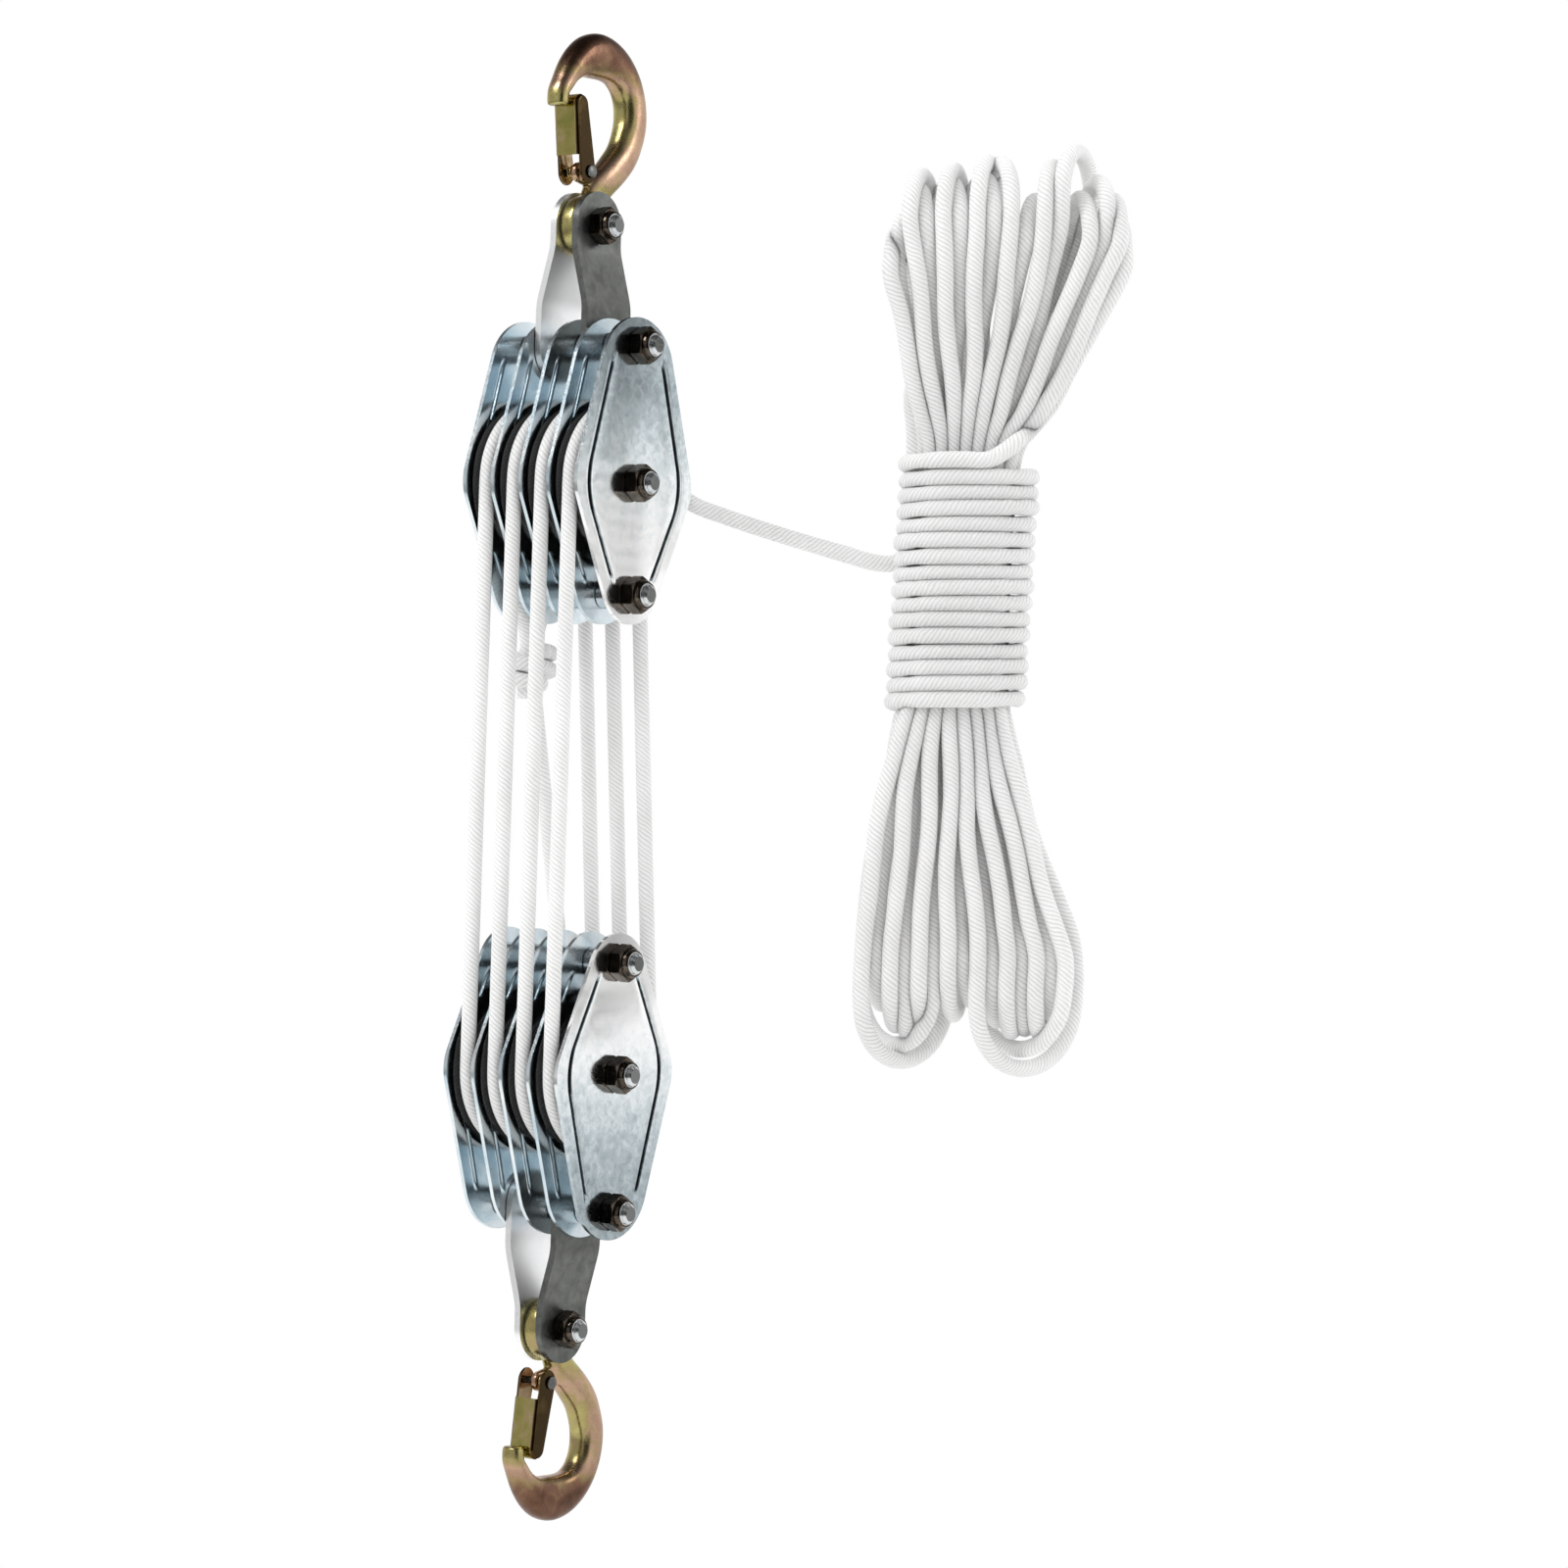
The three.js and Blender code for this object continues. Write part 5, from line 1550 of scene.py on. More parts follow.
@dataclass
class Block(EndAssembly):
    """One block: five cheek plates, four sheaves, the cross bolts with their sleeves and nuts, and two straps."""

    plate: CheekPlate = field(default_factory=CheekPlate)
    side_gap: float = 0.5
    face_relief: float = 0.6
    wall_lean: float = 0.26
    head_height: float = 5.3
    nut_hex: float = 5.6
    nut_height: float = 8.0
    collar: float = 5.7
    collar_top: float = 4.9
    end_reach: float = 1.8
    strap_width: float = 27.0
    strap_sheet: float = 2.8
    strap_inner: float = 4.0
    upper_bend: float = 9.0
    lower_bend: float = 31.0
    strap_ease: float = 3.0
    strap_rows: int = 60
    strap_columns: int = 8
    strap_edge: float = 0.35
    strap_end_rows: Row = (0.01, 0.05, 0.15, 0.35, 0.7, 1.1)
    # The inset from the hub's face and the radius; then the inset from the rim's face and the depth below the rim
    hub_section: Pairs = (
        (0.4, 6.3), (0.0, 6.8), (0.0, 10.5), (1.1, 12.0), (1.3, 13.0), (1.4, 24.0), (1.1, 25.0))
    web_radius: float = 26.6
    rim_section: Pairs = ((0.0, 0.5), (0.15, 0.12), (0.5, 0.0))
    groove_steps: int = 8
    sheave_steps: int = 72
    round_steps: int = 48
    corner_share: float = 1.145
    face_share: float = 0.97
    chamfer_deg: float = 30.0
    broken_edge: float = 0.1
    cap_radius: float = 0.5
    thread_pitch: float = 1.25
    thread_clear: float = 0.9
    # The place in a turn of the thread, or back from its tip, and the depth below the bolt's radius
    ridge: Pairs = ((0.0, 0.55), (0.45, 0.02), (0.6, 0.02))
    thread_tip: Pairs = ((0.8, 0.4), (0.2, 0.9), (0.0, 1.2))
    shank_back: float = 1.4
    thread_back: float = 1.3
    sleeve_edge: float = 0.25
    end_film: float = 0.6
    # The collar's section: its foot from the hexagon's face outward, its shoulder and lip back from the nut's top
    collar_foot: Pairs = ((-1.2, -0.1), (-0.2, 0.25), (0.1, 0.0), (1.2, -0.02))
    collar_shoulder: Pairs = ((0.7, 0.2), (0.2, 0.5))
    collar_lip: Pairs = ((0.0, 0.0), (0.12, 0.3), (0.5, 0.35))
    insert_bite: float = 0.05
    insert_under: float = 0.3
    insert_sink: float = 0.32
    insert_top: Pairs = ((0.45, 0.0), (0.3, 0.15))

    @property
    def body(self) -> str:
        """Returns the body that the block's fixed pieces ride on."""
        return self.name("block")

    def at(self, x: float, z: float) -> Matrix:
        """Returns a place in the block's frame."""
        return self.end.block_place @ Matrix.Translation((x, 0, z))

    def build(self) -> None:
        """Makes every piece of the block."""
        self.build_plates()
        self.build_sheaves()
        self.build_bolts()
        self.build_straps()

    def build_plates(self) -> None:
        """Makes the five plates, all pressed the same way."""
        for i in range(STACK.plates):
            front = i == STACK.plates - 1
            place = self.at(STACK.plate_x(i), 0)
            piece = self.plate.draft(front).make(self.name(f"plate_{i + 1}"), place)
            sheet_metal(piece, STACK.sheet, self.plate.edge)
            # The front plate carries a painted reflection, greyer towards the hook, and painted shade in its beads
            if front:
                back = place.inverted()
                lay_film_and_painted_light(piece, lambda point: self.plate.film(back @ point))
            finish = Finishes.BRIGHT_ZINC if front else Finishes.BLUE_ZINC
            self.dress(piece, finish, self.body, self.name(f"cheek_plate_{i + 1}"))

    def build_sheaves(self) -> None:
        """Makes the four sheaves, with a hub, a thinner web and a round groove."""
        half = STACK.bay / 2 - self.side_gap
        rim = half - self.face_relief
        groove = STACK.rope / 2 + STACK.seat_gap
        bottom = STACK.sheave_pitch_radius
        side = [(half - inset, radius) for inset, radius in self.hub_section] + [(rim, self.web_radius)]
        side += [(rim - inset, STACK.sheave_radius - below) for inset, below in self.rim_section]
        wall = math.pi / 2 - self.wall_lean
        arc = [(groove * math.sin(angle), bottom - groove * math.cos(angle))
               for angle in (wall * k / self.groove_steps for k in range(self.groove_steps, 0, -1))]
        profile = side + arc + [(0.0, bottom - groove)]
        profile += [(-x, r) for x, r in reversed(side + arc)]
        profile.append(profile[0])
        for i in range(STACK.plates - 1):
            draft = Draft()
            draft.add_rings(turned(profile, self.sheave_steps), capped=False)
            piece = draft.make(self.name(f"wheel_{i + 1}"), self.at(STACK.bay_x(i), 0), TURNED_SHARP_DEG)
            self.dress(piece, Finishes.BLACK_NYLON, self.name(f"sheave_{i + 1}"), self.name(f"sheave_{i + 1}"))

    def hexagon(self, draft: Draft, low: float, high: float, chamfer_low: bool, chamfer_high: bool) -> None:
        """Adds a hexagon along X, its corners rounded off by a cone where it is chamfered.

        Args:
            draft: The draft that takes it.
            low: Its lower X.
            high: Its upper X.
            chamfer_low: Whether the lower face is chamfered.
            chamfer_high: Whether the upper face is chamfered.
        """
        flat = STACK.across_flats / 2
        face = flat * self.face_share
        count = self.sheave_steps
        rings: list[list[Vector]] = [[], [], [], [], [], []]
        for k in range(count):
            angle = math.tau * k / count
            from_flat = (angle + math.pi / 6) % (math.pi / 3) - math.pi / 6
            reach = min(flat / math.cos(from_flat), flat * self.corner_share)
            drop = (reach - face) * math.tan(math.radians(self.chamfer_deg))
            low_edge = low + (drop if chamfer_low else self.broken_edge)
            high_edge = high - (drop if chamfer_high else self.broken_edge)
            inner = face if chamfer_low else reach - self.broken_edge
            outer = face if chamfer_high else reach - self.broken_edge
            for ring, (x, r) in zip(rings, ((low, self.cap_radius), (low, inner), (low_edge, reach),
                                            (high_edge, reach), (high, outer), (high, self.cap_radius))):
                ring.append(Vector((x, r * math.cos(angle), r * math.sin(angle))))
        draft.add_rings(rings)

    def thread(self, start: float, end: float) -> list[Pair]:
        """Draws a bolt's threaded end: its ridges and a chamfered tip.

        Args:
            start: The X where the thread starts.
            end: The X of the tip.

        Returns:
            Pairs of X and radius.
        """
        profile = []
        x = start
        while x < end - self.thread_clear:
            profile += [(x + self.thread_pitch * share, STACK.bolt - depth) for share, depth in self.ridge]
            x += self.thread_pitch
        return profile + [(end - back, STACK.bolt - depth) for back, depth in self.thread_tip] + [(end, POLE_MM)]

    def bolt(self, name: str, node: str, z: float, head_face: float, end: float,
             sleeves: Iterable[Triple]) -> None:
        """Makes a bolt with a hexagon head behind, its sleeves, and a threaded end in front.

        Args:
            name: The piece's name.
            node: The solid that it replaces.
            z: Its height in the block.
            head_face: The X of the head's seat.
            end: The X of the thread's tip.
            sleeves: The low X, high X and radius of each sleeve.
        """
        draft = Draft()
        self.hexagon(draft, head_face - self.head_height, head_face, True, False)
        inside = head_face - STACK.seat_gap
        profile = [(inside, POLE_MM), (inside, STACK.bolt)]
        edge = self.sleeve_edge
        for low, high, radius in sleeves:
            profile += [(low, STACK.bolt), (low, radius - edge), (low + edge, radius), (high - edge, radius),
                        (high, radius - edge), (high, STACK.bolt)]
        nut_out = end - self.end_reach
        profile += [(nut_out - self.shank_back, STACK.bolt)] + self.thread(nut_out - self.thread_back, end)
        draft.add_rings(turned(profile, self.round_steps))
        piece = draft.make(self.name(name), self.at(0, z), TURNED_SHARP_DEG)
        lay_film_and_painted_light(piece, lambda point: self.end_film if point.x > end - self.broken_edge else 0.0)
        self.dress(piece, Finishes.DULL_ZINC, self.body, self.name(node))

    def nut(self, name: str, node: str, face: float, z: float) -> None:
        """Makes a lock nut: a hexagon, a collar rolled in over a nylon ring, and that ring.

        Args:
            name: The piece's name.
            node: The solid that it replaces.
            face: The X of its seat.
            z: Its height in the block.
        """
        draft = Draft()
        self.hexagon(draft, face, face + self.nut_hex, True, True)
        x = face + self.nut_hex
        top = face + self.nut_height
        profile = [(x + run, self.collar + out) for run, out in self.collar_foot]
        profile += [(top - back, self.collar - drop) for back, drop in self.collar_shoulder]
        profile += [(top - back, self.collar_top - drop) for back, drop in self.collar_lip]
        profile.append((profile[0][0], profile[-1][1]))
        draft.add_rings(turned(profile, self.round_steps), capped=False)
        piece = draft.make(self.name(name), self.at(0, z), TURNED_SHARP_DEG)
        self.dress(piece, Finishes.BLACK_NUT, self.body, self.name(node))
        ring = Draft()
        inner = STACK.bolt - self.insert_bite
        outer = self.collar_top - self.insert_under
        profile = [(x, inner)] + [(top - back, inner + rise) for back, rise in self.insert_top]
        profile += [(top - self.insert_sink, outer), (x, outer), (x, inner)]
        ring.add_rings(turned(profile, self.round_steps), capped=False)
        insert = ring.make(self.name(f"{name}_insert"), self.at(0, z), TURNED_SHARP_DEG)
        self.dress(insert, Finishes.NYLON_INSERT, self.body)

    def build_bolts(self) -> None:
        """Makes the three cross bolts and the eye bolt, each with its lock nut."""
        nut_face = STACK.outer_face + STACK.seat_gap
        end = nut_face + self.nut_height + self.end_reach
        room = STACK.bay / 2 - STACK.seat_gap
        full = [(STACK.bay_x(i) - room, STACK.bay_x(i) + room) for i in range(STACK.plates - 1)]
        strap_room = self.strap_sheet + STACK.seat_gap
        split = [(low + (strap_room if i == 1 else 0), high - (strap_room if i == 2 else 0))
                 for i, (low, high) in enumerate(full)]
        for part, z, spans, radius in (("hook_side", STACK.hook_bolt_z, split, STACK.sleeve),
                                       ("axle", 0.0, full, STACK.bearing),
                                       ("rope_side", STACK.rope_bolt_z, full, STACK.sleeve)):
            self.bolt(f"{part}_through_bolt", f"{part}_bolt", z, -nut_face, end,
                      [(low, high, radius) for low, high in spans])
            self.nut(f"{part}_lock_nut", f"{part}_nut", nut_face, z)
        eye_face = self.strap_inner + self.strap_sheet + STACK.seat_gap
        self.bolt("eye_through_bolt", "eye_bolt", STACK.eye_bolt_z, -eye_face,
                  eye_face + self.nut_height + self.end_reach, [])
        self.nut("eye_lock_nut", "eye_nut", eye_face, STACK.eye_bolt_z)

    def strap_x(self, z: float) -> float:
        """Finds the middle of the front strap, its two bends eased.

        Args:
            z: The height.

        Returns:
            Its X there.
        """
        block_face = STACK.plate_x(STACK.plates - 2) - STACK.sheet / 2 - STACK.seat_gap
        inner = self.strap_inner + self.strap_sheet / 2
        outer = block_face - self.strap_sheet / 2
        upper = STACK.eye_bolt_z - self.upper_bend
        lower = STACK.eye_bolt_z - self.lower_bend
        ease = self.strap_ease

        def ramp(value: float) -> float:
            """Eases a rise that starts at nought.

            Args:
                value: How far past the bend.

            Returns:
                Nought before the bend and the value after it, rounded between.
            """
            if value <= -ease:
                return 0.0
            if value >= ease:
                return value
            return (value + ease) ** 2 / (4 * ease)

        slope = (outer - inner) / (upper - lower)
        return inner + slope * (ramp(upper - z) - ramp(lower - z))

    def build_straps(self) -> None:
        """Makes the front and rear strap, bars bent in from the block to the hook's eye."""
        half = self.strap_width / 2
        circles = [(0.0, STACK.eye_bolt_z, half), (0.0, STACK.hook_bolt_z, half)]
        low, high = STACK.hook_bolt_z - half, STACK.eye_bolt_z + half
        count, near, columns = self.strap_rows, self.strap_end_rows, self.strap_columns
        levels = sorted([low + (high - low) * k / count for k in range(1, count)] +
                        [low + n for n in near] + [high - n for n in near])
        # The rear strap's near-white finish is a painted highlight
        for side, part, finish in ((1, "front_strap", Finishes.DARK_BAR),
                                   (-1, "rear_strap", Finishes.WHITE_ZINC)):
            rows = []
            for z in levels:
                reach = hull_span(circles, z)[1]
                rows.append([Vector((side * self.strap_x(z), reach * k / columns, z))
                             for k in range(-columns, columns + 1)])
            draft = Draft()
            draft.add_rings(rows, closed=False, capped=False)
            piece = draft.make(self.name(f"{part}_bar"), self.at(0, 0))
            sheet_metal(piece, self.strap_sheet, self.strap_edge)
            self.dress(piece, finish, self.body, self.name(part))


# Hooks


@dataclass
class Hook(EndAssembly):
    """The eye hook with its latch, in its own frame: the eye's centre at the origin, the mouth towards -Y."""

    reach: float = 62.5
    bowl_radius: float = 16.3
    bowl_offset: float = 2.2
    depth: float = 13.7
    thickness: float = 12.0
    roundness: float = 2.5
    sides: int = 36
    eye_radius: float = 12.5
    eye_width: float = 7.4
    eye_edge: float = 1.8
    pin_y: float = -5.5
    pin_z: float = 20.8
    pin_radius: float = 1.5
    latch_width: float = 12.0
    latch_sheet: float = 1.2
    latch_round: float = 1.6
    face_set: float = 7.2
    lean: float = 0.11
    lug_radius: float = 4.0
    lug_half: float = 1.5
    ear_radius: float = 5.0
    ear_set: float = 2.2
    top_radius: float = 3.5
    latch_length: float = 29.5
    window_top: float = 6.6
    voxel: float = 0.5
    # Y and Z as shares of the reach, then the bar's depth and thickness as shares of their own
    shank_shares: tuple[Row, ...] = (
        (0, 0.09, 0.72, 0.5), (0.055, 0.19, 0.86, 0.6), (0.135, 0.29, 0.95, 0.8), (0.235, 0.385, 1, 0.9),
        (0.32, 0.48, 1, 0.94))
    # The angle round the bowl in degrees, the bowl's radius, then the depth and thickness, all three as shares
    bowl_shares: tuple[Row, ...] = (
        (-26, 1, 1, 0.95), (-8, 1, 0.96, 1), (12, 1, 0.93, 1), (32, 0.98, 0.96, 1), (52, 0.9, 1.09, 1),
        (70, 0.8, 1.24, 1), (88, 0.745, 1.31, 1), (104, 0.755, 1.23, 0.99), (119, 0.83, 1.02, 0.96),
        (133, 0.92, 0.8, 0.92), (146, 1.0, 0.64, 0.86), (158, 1.06, 0.56, 0.8), (169, 1.155, 0.49, 0.76))
    tip_drop: float = 4.6
    tip_slant: float = 0.2
    tip_taper: float = 0.97
    tip_edge: float = 0.9
    tip_shares: Row = (0.5, 0.87, 1.0)
    bar_step: float = 1.4
    eye_steps: int = 64
    eye_edge_steps: int = 5
    relax_factor: float = 0.5
    relax_steps: int = 16
    grown_sharp_deg: float = 60.0
    base_film: float = 0.24
    # The next two also carry painted light: painted shade over the crown, and a painted highlight in the bowl and at
    # the tip
    crown_film_and_painted_shade: float = 0.36
    bare_film: float = 0.26
    eye_bare: float = 0.8
    # Where the film and its painted light change: the start and the length of each change
    crown_span: Pair = (4.0, 16.0)
    inside_span: Pair = (-2.0, 9.0)
    eye_span: Pair = (12.0, 8.0)
    tip_y_span: Pair = (-14.0, 4.0)
    tip_z_span: Pair = (47.0, 9.0)
    latch_film: float = 0.5
    latch_rows: int = 46
    latch_end_rows: Row = (0.01, 0.06, 0.2, 0.45)
    latch_edge: float = 0.18
    ear_steps: int = 5
    fold_steps: int = 6
    web_steps: int = 4
    web_gap: float = 0.02
    slit: float = 0.02
    round_steps: int = 12
    pin_steps: int = 32
    pin_head: float = 1.0
    head_foot: float = 2.55
    head_section: Pairs = ((0.6, 2.6), (0.3, 2.4), (0.0, 1.7))
    spring_wire: float = 0.35
    spring_coil: float = 2.7
    spring_pitch: float = 1.15
    spring_turns: float = 1.25
    spring_steps: int = 30
    spring_step: float = 0.4
    spring_sides: int = 10
    shank_leg: float = 4.2
    latch_leg: Pair = (-3.7, 12.0)
    spring_sway: Triples = ((0.0, -1.5, 2.2), (0.0, -3.0, 7.0))

    def build(self) -> None:
        """Makes the forging, the latch, its pin and its spring."""
        self.build_forging()
        self.build_latch()
        self.build_pin()
        self.build_spring()

    def stations(self) -> list[tuple[Vector, float, float]]:
        """Lists the hook's bar from the eye to the tip.

        Returns:
            The centre, depth and thickness at each station.
        """
        rows = [(Vector((0, y * self.reach, z * self.reach)), d * self.depth, t * self.thickness)
                for y, z, d, t in self.shank_shares]
        bowl_z = self.reach - self.bowl_radius
        for degrees, inner, d, t in self.bowl_shares:
            angle = math.radians(degrees)
            radius = inner * self.bowl_radius + d * self.depth / 2
            rows.append((Vector((0, self.bowl_offset + radius * math.cos(angle),
                                 bowl_z + radius * math.sin(angle))), d * self.depth, t * self.thickness))
        tip, depth, thickness = rows[-1]
        rows.append((tip + Vector((0, -self.tip_slant, -self.tip_drop)), depth, thickness * self.tip_taper))
        return rows

    def bar_rings(self) -> list[list[Vector]]:
        """Draws the bar smoothly through its stations, and the edge of its flat tip.

        Returns:
            Its rings.
        """
        rows = self.stations()
        packed = smooth_path([Vector((d, p.y, p.z)) for p, d, _ in rows], self.bar_step)
        thick = smooth_path([Vector((t, p.y, p.z)) for p, _, t in rows], self.bar_step)
        count = min(len(packed), len(thick))
        packed = [packed[round(k * (len(packed) - 1) / (count - 1))] for k in range(count)]
        thick = [thick[round(k * (len(thick) - 1) / (count - 1))] for k in range(count)]
        spots = [(Vector((0, p.y, p.z)), p.x, t.x) for p, t in zip(packed, thick)]
        rings = []
        for i, (centre, depth, thickness) in enumerate(spots):
            along = (spots[min(i + 1, count - 1)][0] - spots[max(i - 1, 0)][0]).normalized()
            rings.append(self.bar_ring(centre, along, depth, thickness))
        centre, depth, thickness = spots[-1]
        along = (spots[-1][0] - spots[-2][0]).normalized()
        for share in self.tip_shares:
            less = 2 * self.tip_edge * (1 - math.sqrt(1 - share * share))
            rings.append(self.bar_ring(centre + along * (share * self.tip_edge), along, depth - less,
                                       thickness - less))
        return rings

    def bar_ring(self, centre: Vector, along: Vector, depth: float, thickness: float) -> list[Vector]:
        """Draws one ring of the bar, a rounded oblong square to its path.

        Args:
            centre: The ring's centre.
            along: The way of the path.
            depth: The bar's depth, in the hook's plane.
            thickness: Its thickness, across that plane.

        Returns:
            The ring's points.
        """
        out = Vector((0, along.z, -along.y))
        power = 2 / self.roundness
        ring = []
        for k in range(self.sides):
            angle = math.tau * (k + 0.5) / self.sides
            c, s = math.cos(angle), math.sin(angle)
            across = math.copysign(abs(c) ** power, c) * depth / 2
            beside = math.copysign(abs(s) ** power, s) * thickness / 2
            ring.append(centre + out * across + Vector((-beside, 0, 0)))
        return ring

    def build_forging(self) -> None:
        """Makes the forging: bar, eye and lug grown into one skin, with the soft hollows that a die leaves."""
        draft = Draft()
        draft.add_rings(self.bar_rings())
        half = self.eye_width / 2
        hole = STACK.bolt + STACK.seat_gap
        edge = self.eye_edge
        rim = [(edge * (1 - math.cos(a)), self.eye_radius - edge * (1 - math.sin(a)))
               for a in (math.pi / 2 * k / self.eye_edge_steps for k in range(self.eye_edge_steps + 1))]
        profile = [(-half, hole)] + [(-half + x, r) for x, r in rim] + [(half - x, r) for x, r in reversed(rim)]
        profile += [(half, hole), (-half, hole)]
        draft.add_rings(turned(profile, self.eye_steps), capped=False)
        root = Vector((0, self.shank_shares[2][0] * self.reach, self.shank_shares[2][1] * self.reach))
        lug = [Vector((0, self.pin_y, self.pin_z)), root]
        outline = self.capsule(lug[0], lug[1], self.lug_radius)
        draft.add_rings([[p + Vector((side, 0, 0)) for p in outline] for side in (-self.lug_half, self.lug_half)])
        piece = draft.make(self.name("forging"), Matrix.Identity(4))
        grown = piece.modifiers.new("grown", "REMESH")
        grown.mode = "VOXEL"
        grown.voxel_size = self.voxel * MM
        relax = piece.modifiers.new("relax", "SMOOTH")
        relax.factor = self.relax_factor
        relax.iterations = self.relax_steps
        applied(piece, self.grown_sharp_deg)
        lay_film_and_painted_light(piece, self.film)
        piece.data.transform(self.metres(self.end.hook_place))
        self.dress(piece, Finishes.YELLOW_FORGING, self.name("hook"), self.name("hook"))

    def film(self, point: Vector) -> float:
        """Finds the chromate's film, thin in the eye and the bowl and thick over the crown, with painted light laid
        in: painted shade dark over the crown, a painted highlight light in the bowl and a painted reflection light at
        the tip.

        Args:
            point: A point in the hook's frame.

        Returns:
            The film's thickness, with the painted light, as a share.
        """
        bowl_z = self.reach - self.bowl_radius
        radius = Vector((point.y - self.bowl_offset, point.z - bowl_z)).length
        # Painted light: the crown's dark brown is painted shade, the bowl's light olive a painted highlight and the
        # tip's cream a painted reflection
        crown = passed(point.z - bowl_z, self.crown_span)
        inside = 1 - passed(radius - self.bowl_radius, self.inside_span)
        eye = 1 - passed(point.z, self.eye_span)
        bare_and_painted_highlight = max(inside * (1 - crown), eye * self.eye_bare)
        tip = (1 - passed(point.y, self.tip_y_span)) * (1 - passed(point.z, self.tip_z_span))
        return max(0.0, self.base_film + self.crown_film_and_painted_shade * crown - self.bare_film * max(bare_and_painted_highlight, tip))

    def metres(self, place: Matrix) -> Matrix:
        """Turns a placement's shift from millimetres to metres.

        Args:
            place: The placement.

        Returns:
            The same placement in metres.
        """
        turned_place = place.copy()
        turned_place.translation = place.translation * MM
        return turned_place

    def capsule(self, a: Vector, b: Vector, radius: float) -> list[Vector]:
        """Draws a bar with round ends between two points, in the plane across X.

        Args:
            a: The first point.
            b: The second point.
            radius: Half its width.

        Returns:
            Its outline.
        """
        start = math.atan2(b.z - a.z, b.y - a.y)
        points = []
        for centre, turn in ((a, start + math.pi / 2), (b, start - math.pi / 2)):
            for k in range(self.round_steps + 1):
                angle = turn + math.pi * k / self.round_steps
                points.append(centre + Vector((0, math.cos(angle), math.sin(angle))) * radius)
        return points

    @property
    def latch_place(self) -> Matrix:
        """Returns the place of the latch's frame, leaned about its pin."""
        return (self.end.hook_place @ Matrix.Translation((0, self.pin_y, self.pin_z)) @
                Matrix.Rotation(self.lean, 4, "X"))

    def build_latch(self) -> None:
        """Makes the latch: thin sheet folded to a channel, with ears at the pin and an open foot."""
        side = [(-self.ear_set, 0.0, self.ear_radius),
                (self.top_radius - self.face_set, self.latch_length - self.top_radius, self.top_radius)]
        middle = self.latch_sheet / 2
        half = self.latch_width / 2 - middle
        bend = self.latch_round - middle
        low, high = -self.ear_radius, self.latch_length
        count, near = self.latch_rows, self.latch_end_rows
        levels = sorted([low + (high - low) * k / count for k in range(1, count)] + [low + n for n in near] +
                        [high - n for n in near] + [self.window_top, self.window_top + self.slit])
        rows = []
        for z in levels:
            front, back = hull_span(side, z)
            front = min(back - self.web_gap, front + middle)
            ear = [Vector((half, blend_values(back, min(back, front + bend), k / self.ear_steps), z))
                   for k in range(self.ear_steps + 1)]
            reach = min(bend, back - front)
            fold = [Vector((half - bend + bend * math.cos(a), front + reach - reach * math.sin(a), z))
                    for a in (math.pi / 2 * k / self.fold_steps for k in range(1, self.fold_steps + 1))]
            web = [Vector(((half - bend) * (1 - k / self.web_steps), front, z)) for k in range(1, self.web_steps + 1)]
            right = ear + fold + web
            rows.append(right + [Vector((-p.x, p.y, p.z)) for p in reversed(right[:-1])])
        draft = Draft()
        draft.add_rings(rows, closed=False, capped=False)
        count = len(rows[0])
        draft.faces = [face for face in draft.faces if not (
            draft.points[face[2]].z <= self.window_top + self.slit / 2 and
            self.ear_steps <= face[0] % count < count - self.ear_steps - 1)]
        piece = draft.make(self.name("latch_channel"), Matrix.Identity(4))
        sheet_metal(piece, self.latch_sheet, self.latch_edge)
        lay_film_and_painted_light(piece, lambda point: self.latch_film * smooth_step((abs(point.x) - half + bend) / bend))
        piece.data.transform(self.metres(self.latch_place))
        self.dress(piece, Finishes.YELLOW_SHEET, self.name("latch"), self.name("latch"))

    def build_pin(self) -> None:
        """Makes the latch's pin with its two peened heads."""
        face = self.latch_width / 2 + STACK.seat_gap
        end = face + self.pin_head
        half = [(face, self.pin_radius), (face, self.head_foot)]
        half += [(end - back, radius) for back, radius in self.head_section] + [(end, POLE_MM)]
        profile = [(-x, radius) for x, radius in reversed(half)] + half
        draft = Draft()
        draft.add_rings(turned(profile, self.pin_steps))
        place = self.end.hook_place @ Matrix.Translation((0, self.pin_y, self.pin_z))
        piece = draft.make(self.name("latch_rivet"), place, TURNED_SHARP_DEG)
        self.dress(piece, Finishes.DARK_BAR, self.name("hook"), self.name("latch_pin"))

    def build_spring(self) -> None:
        """Makes the latch spring: a leg at the shank, curls on the pin, and a leg behind the latch's web."""
        coil = self.spring_coil
        start = -(self.lug_half + STACK.seat_gap + self.spring_wire)
        curl = []
        for k in range(self.spring_steps + 1):
            turns = self.spring_turns * k / self.spring_steps
            angle = -math.pi / 2 - math.tau * turns
            curl.append(Vector((start - self.spring_pitch * turns, coil * math.cos(angle), coil * math.sin(angle))))
        shank_leg = Vector((0, self.shank_leg, 0))
        latch_leg = Vector((0, *self.latch_leg))
        corners = [curl[0] + shank_leg, curl[0] + shank_leg / 2, *curl, curl[-1] + latch_leg / 2, curl[-1] + latch_leg]
        points = smooth_path(corners, self.spring_step)
        rings, _ = tube_rings(points, lambda _: self.spring_wire, self.spring_sides)
        draft = Draft()
        draft.add_rings(rings)
        place = self.end.hook_place @ Matrix.Translation((0, self.pin_y, self.pin_z))
        piece = draft.make(self.name("latch_wire_spring"), place)
        self.dress(piece, Finishes.SPRING_WIRE, None, self.name("latch_spring"))
        self.name("hook")
        self.name("latch")
        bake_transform(piece)


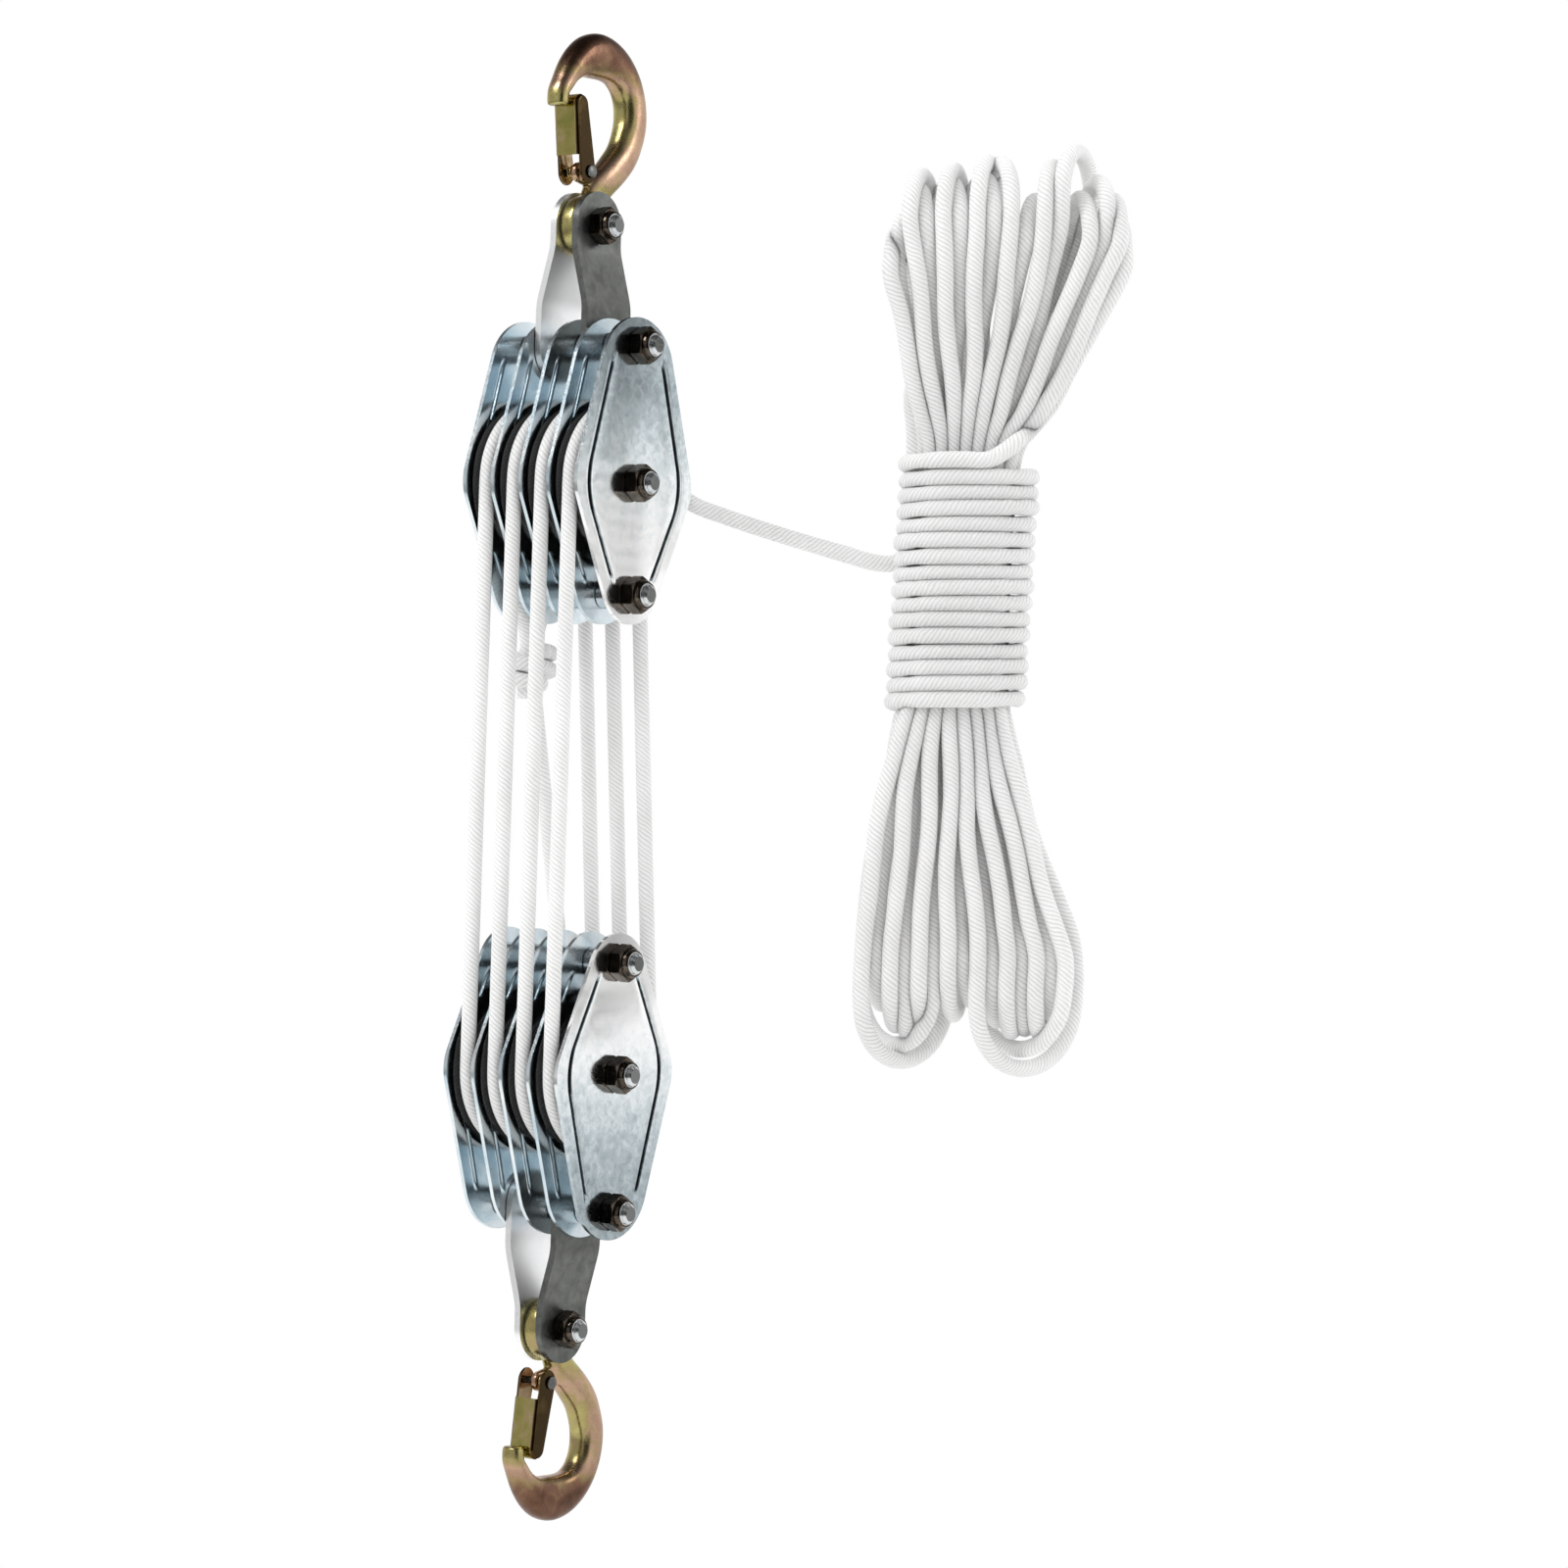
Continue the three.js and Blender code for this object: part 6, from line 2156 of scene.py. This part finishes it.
def main() -> None:
    """Builds the studio, the rope and both ends of the tackle, in that order."""
    logging.basicConfig(level=logging.INFO, format="%(name)s: %(message)s")
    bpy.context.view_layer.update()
    shelf = FinishShelf()
    Studio().build()
    Hank(shelf).build()
    Reeving(shelf).build()
    for end in End:
        Block(shelf, end=end).build()
        Hook(shelf, end=end).build()


if __name__ == "__main__":
    main()
